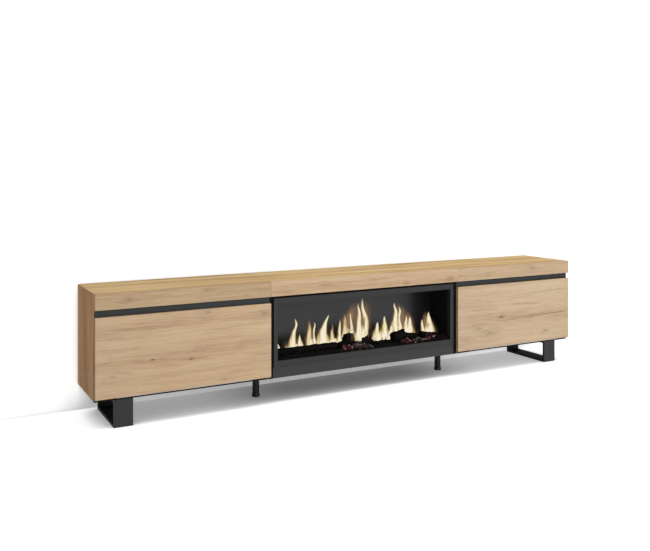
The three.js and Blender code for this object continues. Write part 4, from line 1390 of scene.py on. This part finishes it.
@dataclass(frozen=True)
class Finishes:
    """The finishes that several pieces share."""

    top: Finish = OakMelamine(
        "oak_melamine_top", tones=(0xEACB92, 0xD6B27A, 0xA2773F), shift=(9.0, 4.0, 3.0), bands=1.0,
    )
    edge_band: Finish = MattSkin("melamine_edge_band_dark", 0x3B2D23, 0x463629, 0.6, 1.2, 0.04, 0.3)
    front_band: Finish = MattSkin("melamine_edge_band_black", 0x2A2D2E, 0x313334, 0.55, 1.2, 0.04, 0.3)
    # Near-black band: painted shade on the bottom boards' front edges under the doors.
    low_shadow_band: Finish = MattSkin("melamine_edge_band_painted_shade", 0x0D0B0A, 0x12100E, 0.6, 1.2, 0.04, 0.1)
    dark_board: Finish = MattSkin("melamine_dark_carcass", 0x332A24, 0x3B312A, 0.6, 1.1, 0.04, 0.3)
    apron_board: Finish = MattSkin("melamine_black_apron", 0x2B2C2D, 0x313233, 0.5, 0.9, 0.04, 0.3)
    groove_board: Finish = MattSkin("melamine_black_groove", 0x262A2C, 0x2D3031, 0.5, 0.9, 0.04, 0.3)
    # Near-black, darker than the groove's black: black melamine with the recess's painted shadow.
    shadow_rail_board: Finish = MattSkin("melamine_black_rail", 0x070707, 0x0B0B0B, 0.7, 0.9, 0.04, 0.08)
    hardboard: Finish = MattSkin("hardboard_painted_grey", 0x4A4540, 0x524C46, 0.75, 1.6, 0.08, 0.25)
    steel: Finish = MattSkin("steel_powder_coated_black", 0x1F1F20, 0x252526, 0.5, 0.5, 0.06, 0.33)
    # Painted shade for the inside and the ends of the sled legs' loops.
    shade: Finish = MattSkin("steel_black_painted_shade", 0x0F0F10, 0x141415, 0.6, 0.5, 0.06, 0.2)
    housing: Finish = MattSkin("steel_painted_housing", 0x0E0E0D, 0x141413, 0.6, 0.7, 0.05, 0.2)
    screen: Finish = MattSkin("acrylic_frosted_smoked", 0x111112, 0x151516, 0.3, 0.4, 0.005, 0.42)
    foot: Finish = MattSkin("abs_moulded_foot", 0x0C0C0D, 0x121213, 0.45, 0.6, 0.05, 0.25)
    plastic: Finish = MattSkin("abs_moulded_black", 0x18181A, 0x202021, 0.5, 0.6, 0.05, 0.35)
    gloss: Finish = MattSkin("abs_polished_black", 0x161616, 0x1C1C1C, 0.22, 3.0, 0.01, 0.5)
    solder: Finish = MattSkin("glass_epoxy_white_mask", 0xD8DCD6, 0xE4E8E2, 0.4, 1.0, 0.02, 0.45)
    char: Finish = CharredResin("resin_charred_oak")
    ember: Finish = CharredResin("resin_glowing_ember", 0x0E0807, 0x1C0E0C, ashes=0.4, glow=0.9)
    # The cinders' grey glow is painted highlight, strongest on their up-facing tops.
    ash: Finish = CharredResin(
        "resin_ashen_cinder", 0x0A0605, 0x281915, 0xA39B97, 0.7, 0.54, 0x1C1113, 0x8F8988, 0.5,
    )
    zinc: Finish = PlatedSteel("steel_zinc_plated")
    mirror: Finish = PlatedSteel("steel_mirror_strip", 0xD2D6DA, 0.12, 1.5)
    brass: Finish = PlatedSteel("brass_tinned_blade", 0xC9B06A, 0.3, 0.5)
    lens: Finish = LampLens("phosphor_lens")


@dataclass
class Studio:
    """The plain studio: a pale floor, a pale wall behind the stand, soft light and the camera.

    The wall is a backdrop for the camera alone, and it is clear from behind. White is the open stage's own
    light, bounce its tone for light that bounces, and under the span of |x| over which the painted shadow
    under the stand at the wall fades out.
    """

    wall: float = 178.0
    wall_height: float = 6.0
    half_width: float = 9.0
    white: float = 0.74
    bounce: float = 0.72
    sky: float = 0.34
    under: tuple[float, float] = (1.05, 1.35)
    place: Point = (-1.980, -3.3546, 1.0315)
    heading: float = 28.53
    lens: float = 43.115
    shift: float = -0.1535

    def build(self) -> None:
        """Sets up the light, the stage and the camera."""
        world = bpy.data.worlds.new("studio_sky")
        bpy.context.scene.world = world
        add = cleared(world)
        paths = add("LightPath").node.outputs
        seen = add("Math:MAXIMUM", (paths["Is Camera Ray"], paths["Is Transmission Ray"]))
        strength = add("MapRange", (seen, 0.0, 1.0, self.sky, 1.0))
        add("OutputWorld", {"Surface": add("Background", {"Color": grey(1.0), "Strength": strength})})
        self.soft_box("top_soft_box", (0.65, -0.85, 3.2), (0.55, -0.1, 0.0), (4.6, 0.8), 51.5)
        front = self.soft_box("front_soft_box", (1.05, -4.7, 1.9), (0.3, 0.0, 0.3), (5.2, 2.6), 158.0)
        back = self.soft_box("back_soft_box", (0.0, 4.2, 0.9), (0.0, 0.0, 0.3), (4.5, 1.6), 60.0)
        back.visible_glossy = False
        self.lay_stage((front, back))
        self.aim()
        bpy.context.scene.view_settings.view_transform = "Standard"

    def pale(
        self, name: str, reach: float, span: tuple[float, float], shade: Point, ends: tuple[float, float],
        corner: float,
    ) -> Material:
        """A matt white that the camera sees brighter where it lies open, and darker close to the stand, with
        painted shade: its darkest level changes along x, and a painted shadow lies under the stand at the
        wall.

        Args:
            name: The material's name.
            reach: How far it looks for the stand, in metres.
            span: How open a place is where it is darkest, and where it is white.
            shade: Its painted shade, its own light where it is darkest, at the stand's left end, middle and
                right end.
            ends: How far out the shade leaves that of the middle, and where it has that of the ends.
            corner: The strength of the painted shadow under the stand at the wall, counted less open and
                darker.

        Returns:
            The material.
        """
        material = bpy.data.materials.new(name)
        add = cleared(material)
        near, far = ends
        x, y, _ = add("SeparateXYZ", (add("TexCoord", out="Object"),)).node.outputs
        # Painted shade: the darkest level is set along x, lower under the middle than at the ends.
        left = add("MapRange", (x, -far, -near, *shade[:2]), **SOFT)
        darkest = add("MapRange", (x, near, far, left, shade[2]), **SOFT)
        off = add("Math:ABSOLUTE", (x,))
        # Painted shadow under the stand near the wall: less openness and a darker colour.
        within = add("MapRange", (off, *self.under, corner, 0.0), **SOFT)
        back = add("MapRange", (y, -0.02, self.wall * MM, 0.0, within), **SOFT)
        before = add("Math:LESS_THAN", (y, (self.wall - 0.5) * MM))
        painted_nook_shadow = add("Math:MULTIPLY", (back, before))
        room = add("AmbientOcclusion", {"Distance": reach}, "AO", samples=16)
        openness = add("Math:SUBTRACT", (room, painted_nook_shadow))
        lift = add("Emission", {
            "Color": grey(1.0), "Strength": add("MapRange", (openness, *span, darkest, self.white), **SOFT),
        })
        shown = add("BsdfDiffuse", {"Color": add("Math:SUBTRACT", (1.0, painted_nook_shadow))})
        plain = add("BsdfDiffuse", {"Color": grey(self.bounce)})
        paths = add("LightPath").node.outputs
        seen = add("Math:MAXIMUM", (paths["Is Camera Ray"], paths["Is Glossy Ray"]))
        faced = add("MixShader", (seen, plain, add("AddShader", (shown, lift))))
        behind = add("NewGeometry", out="Backfacing")
        add("OutputMaterial", {"Surface": add("MixShader", (behind, faced, add("BsdfTransparent")))})
        return material

    def lay_stage(self, stand_lamps: Iterable[bpy.types.Object]) -> None:
        """Lays the floor and stands the wall.

        Args:
            stand_lamps: The lamps that light the stand alone.
        """
        unlit = bpy.data.collections.new("outside_the_stand_lamps")
        out, back, top = self.half_width, self.wall * MM, self.wall_height
        # Each plane: reach, span, painted shade levels along x, where they change, and painted corner shadow.
        for name, start, end, white in (
            (
                "studio_floor", (-out, 0.0), (out, 0.0),
                (0.3, (0.2, 0.69), (0.265, 0.065, 0.38), (0.3, 0.86), 0.44),
            ),
            (
                "studio_wall", (back, 0.0), (back, top),
                (0.16, (0.4, 0.6), (0.3, 0.18, 0.62), (0.3, 1.2), 0.0),
            ),
        ):
            mesh = bmesh.new()
            corners = ((-out, *start), (out, *start), (out, *end), (-out, *end))
            mesh.faces.new([mesh.verts.new(corner) for corner in corners])
            data = bpy.data.meshes.new(name)
            mesh.to_mesh(data)
            mesh.free()
            data.materials.append(self.pale(f"{name}_white", *white))
            plane = placed(name, data)
            unlit.objects.link(plane)
            if name == "studio_wall":
                plane.visible_diffuse = False
                plane.visible_glossy = False
                plane.visible_shadow = False
        for member in unlit.collection_objects:
            member.light_linking.link_state = "EXCLUDE"
        for lamp in stand_lamps:
            lamp.light_linking.receiver_collection = unlit

    def soft_box(
        self, name: str, place: Point, target: Point, size: tuple[float, float], power: float,
    ) -> bpy.types.Object:
        """Adds a rectangular soft box.

        Args:
            name: Its name.
            place: Where it stands, in metres.
            target: What it faces.
            size: Its width and height in metres.
            power: Its power in watts.

        Returns:
            The lamp.
        """
        lamp = bpy.data.lights.new(name, "AREA")
        lamp.shape = "RECTANGLE"
        lamp.size, lamp.size_y = size
        lamp.energy = power
        holder = placed(name, lamp)
        holder.location = place
        holder.rotation_euler = (Vector(target) - Vector(place)).to_track_quat("-Z", "Y").to_euler()
        return holder

    def aim(self) -> None:
        """Sets the camera where the photograph was taken from."""
        camera = bpy.data.cameras.new("photograph_camera")
        camera.sensor_width = 36.0
        camera.lens = self.lens
        camera.shift_y = self.shift
        camera.dof.use_dof = False
        holder = placed("photograph_camera", camera)
        holder.location = self.place
        holder.rotation_euler = (math.radians(90), 0.0, math.radians(-self.heading))
        bpy.context.scene.camera = holder


LEFT_DOOR = OakMelamine("oak_melamine_left_door", shift=(3.0, 3.0, 3.0), knots=(
    Knot(-1066, 268, 5.5, 1.0, 1.8), Knot(-900, 254, 5, 1.0, 1.8), Knot(-825, 444, 11, 0.4),
    Knot(-561, 419, 10, 0.4), Knot(-743, 148, 7, 0.4), Knot(-1230, 215, 12, 0.25),
), veins=(
    Vein(-985, 262, 170, 2.2, -14, 0.42), Vein(-880, 283, 120, 2.4, -4, 0.42),
    Vein(-850, 296, 100, 2.2, 12, 0.4), Vein(-700, 372, 380, 5.0, 18, 0.16),
    Vein(-1090, 398, 260, 6.0, -8, 0.14),
))
LEFT_FASCIA = OakMelamine(
    "oak_melamine_left_fascia", tones=(0xD0B492, 0xBEA27F, 0x9E7F5D), shift=(4.0, 3.0, 5.0),
    knots=(Knot(-1169, 522, 8, 0.45), Knot(-829, 538, 9, 0.4), Knot(-640, 505, 5, 0.3)),
)
RIGHT_DOOR = OakMelamine(
    "oak_melamine_right_door", tones=(0xD8C1A2, 0xC8AF90, 0xAA8E6E), shift=(11.0, 11.0, 11.0), knots=(
        Knot(812, 284, 8, 0.95, 2.6), Knot(662, 234, 14, 0.42), Knot(730, 207, 16, 0.4),
        Knot(1127, 182, 6, 0.7), Knot(586, 183, 10, 0.35),
    ), veins=(
        Vein(1130, 275, 360, 4.0, 9, 0.75), Vein(980, 342, 230, 7.0, -14, 0.35),
        Vein(1120, 400, 330, 7.0, 10, 0.25), Vein(700, 330, 220, 6.0, -6, 0.25),
    ),
)
RIGHT_FASCIA = OakMelamine(
    "oak_melamine_right_fascia", tones=(0xD3BA9A, 0xC3A888, 0xA58867), shift=(12.0, 11.0, 13.0),
    knots=(Knot(1029, 530, 10, 0.5), Knot(720, 512, 5, 0.3)),
)
MIDDLE_FASCIA = OakMelamine("oak_melamine_middle_fascia", shift=(7.0, 5.0, 6.5), knots=(
    Knot(-258, 526, 8, 0.4), Knot(205, 503, 4, 0.8), Knot(477, 508, 7, 0.7),
))
TONGUES: dict[Heat, tuple[Tongue, ...]] = {
    Heat.HAZE: (
        Tongue(-122, (
            (-24, 282, 80), (-23, 312, 92), (-20, 342, 100), (-15, 372, 100), (-12, 404, 88),
            (-12, 440, 54),
        )),
        Tongue(-42, ((-48, 262, 76), (-44, 305, 80), (-36, 342, 84), (-22, 378, 80), (-8, 412, 56))),
        Tongue(-42, ((253, 240, 88), (253, 284, 92), (257, 322, 88), (256, 357, 62), (234, 390, 16))),
        Tongue(-42, ((304, 234, 66), (304, 278, 70), (302, 312, 58), (300, 344, 16))),
        Tongue(-42, ((418, 222, 48), (414, 260, 48), (412, 296, 40), (414, 332, 12))),
    ),
    Heat.AMBER: (
        Tongue(-48, (
            (-262, 210, 34), (-269, 240, 34), (-269, 270, 29), (-266, 300, 20), (-268, 326, 12),
            (-269, 350, 3),
        )),
        Tongue(-47, ((-140, 208, 33), (-142, 240, 24), (-144, 270, 17), (-142, 298, 10), (-142, 322, 3))),
        Tongue(-55, (
            (-74, 245, 32), (-75, 272, 30), (-75, 298, 26), (-75, 322, 19), (-76, 344, 13), (-77, 363, 5),
        )),
        Tongue(-128, ((2, 263, 14), (7, 296, 14), (11, 320, 13), (8, 345, 12), (8, 366, 9), (3, 390, 2))),
        Tongue(-53, ((329, 210, 27), (330, 234, 21), (329, 262, 2))),
    ),
    Heat.BRIGHT: (
        Tongue(-46, ((-344, 198, 56), (-344, 216, 50), (-340, 236, 26))),
        Tongue(-46, ((-252, 206, 56), (-254, 226, 50), (-256, 250, 26))),
        Tongue(-46, ((-206, 204, 100), (-200, 222, 84), (-196, 246, 40))),
        Tongue(-46, ((-164, 205, 56), (-163, 220, 48), (-160, 238, 20))),
        Tongue(-46, ((-134, 205, 84), (-134, 220, 70), (-130, 242, 24))),
        Tongue(-48, ((-60, 243, 62), (-60, 260, 52), (-60, 284, 22))),
        Tongue(-127, ((-22, 236, 46), (-24, 260, 48), (-24, 292, 30))),
        Tongue(-46, ((140, 202, 84), (142, 222, 70), (140, 248, 30))),
        Tongue(-48, ((180, 204, 60), (182, 220, 50), (184, 240, 22))),
        Tongue(-46, ((238, 230, 60), (236, 256, 52), (234, 290, 24))),
        Tongue(-46, ((306, 206, 74), (304, 228, 62), (300, 256, 28))),
        Tongue(-46, ((420, 194, 60), (422, 216, 52), (424, 246, 24))),
        Tongue(-50, ((-430, 205, 20), (-432, 225, 15), (-436, 246, 3))),
        Tongue(-50, (
            (-364, 198, 60), (-365, 225, 46), (-360, 255, 34), (-354, 285, 22), (-344, 310, 14),
            (-338, 328, 11), (-343, 346, 7), (-350, 358, 2),
        )),
        Tongue(-52, ((-315, 205, 36), (-320, 235, 25), (-323, 258, 14), (-323, 280, 2))),
        Tongue(-52, (
            (-241, 212, 24), (-245, 245, 15), (-248, 272, 12), (-246, 298, 11), (-240, 316, 6),
            (-246, 332, 2),
        )),
        Tongue(-50, (
            (-190, 205, 76), (-194, 236, 58), (-196, 264, 43), (-192, 290, 34), (-187, 310, 26),
            (-178, 330, 16), (-168, 348, 8), (-162, 360, 2),
        )),
        Tongue(-51, ((-110, 208, 33), (-106, 236, 25), (-104, 266, 16), (-103, 298, 11), (-100, 334, 2))),
        Tongue(-58, (
            (-43, 250, 36), (-40, 276, 21), (-42, 300, 16), (-45, 322, 11), (-47, 344, 8), (-47, 361, 3),
        )),
        Tongue(-134, (
            (-38, 234, 36), (-44, 260, 42), (-46, 290, 34), (-44, 320, 25), (-41, 350, 19), (-43, 377, 15),
            (-49, 400, 10), (-49, 422, 3),
        )),
        Tongue(-131, (
            (-18, 244, 39), (-13, 274, 38), (-7, 301, 32), (-4, 328, 25), (-9, 356, 21), (-18, 382, 18),
            (-23, 408, 13), (-23, 445, 3),
        )),
        Tongue(-52, ((116, 202, 62), (111, 230, 45), (107, 255, 32), (111, 278, 19), (115, 302, 3))),
        Tongue(-50, ((155, 220, 48), (155, 250, 41), (155, 275, 33), (155, 300, 21), (157, 328, 3))),
        Tongue(-54, ((188, 208, 42), (192, 235, 37), (195, 256, 23), (196, 277, 4))),
        Tongue(-50, (
            (225, 234, 46), (219, 263, 36), (219, 292, 29), (224, 320, 23), (226, 345, 17), (217, 368, 12),
            (215, 390, 3),
        )),
        Tongue(-51, (
            (251, 236, 35), (247, 267, 25), (242, 296, 19), (245, 321, 16), (250, 344, 12), (241, 369, 3),
        )),
        Tongue(-52, ((292, 212, 42), (284, 245, 34), (283, 270, 23), (286, 296, 14), (286, 320, 3))),
        Tongue(-50, ((310, 208, 58), (310, 235, 46), (310, 260, 33), (311, 285, 19), (310, 312, 3))),
        Tongue(-52, ((405, 194, 36), (397, 220, 28), (389, 246, 18), (385, 270, 12), (386, 291, 2))),
        Tongue(-49, (
            (431, 196, 64), (435, 235, 52), (435, 262, 38), (431, 288, 26), (429, 308, 14), (431, 325, 2),
        )),
    ),
}


def main() -> None:
    """Builds the stand piece by piece, then the studio."""
    logging.basicConfig(level=logging.INFO, format="%(message)s")
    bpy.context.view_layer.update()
    shared = Finishes()
    Cupboard(Side.LEFT, shared, LEFT_DOOR, LEFT_FASCIA).build()
    Cupboard(Side.RIGHT, shared, RIGHT_DOOR, RIGHT_FASCIA).build()
    MiddleModule(shared, MIDDLE_FASCIA).build()
    for side in Side:
        SledLeg(side, shared).build()
        MiddleFoot(side, shared).build()
    Fire(shared, TONGUES).build()
    Studio().build()


if __name__ == "__main__":
    main()
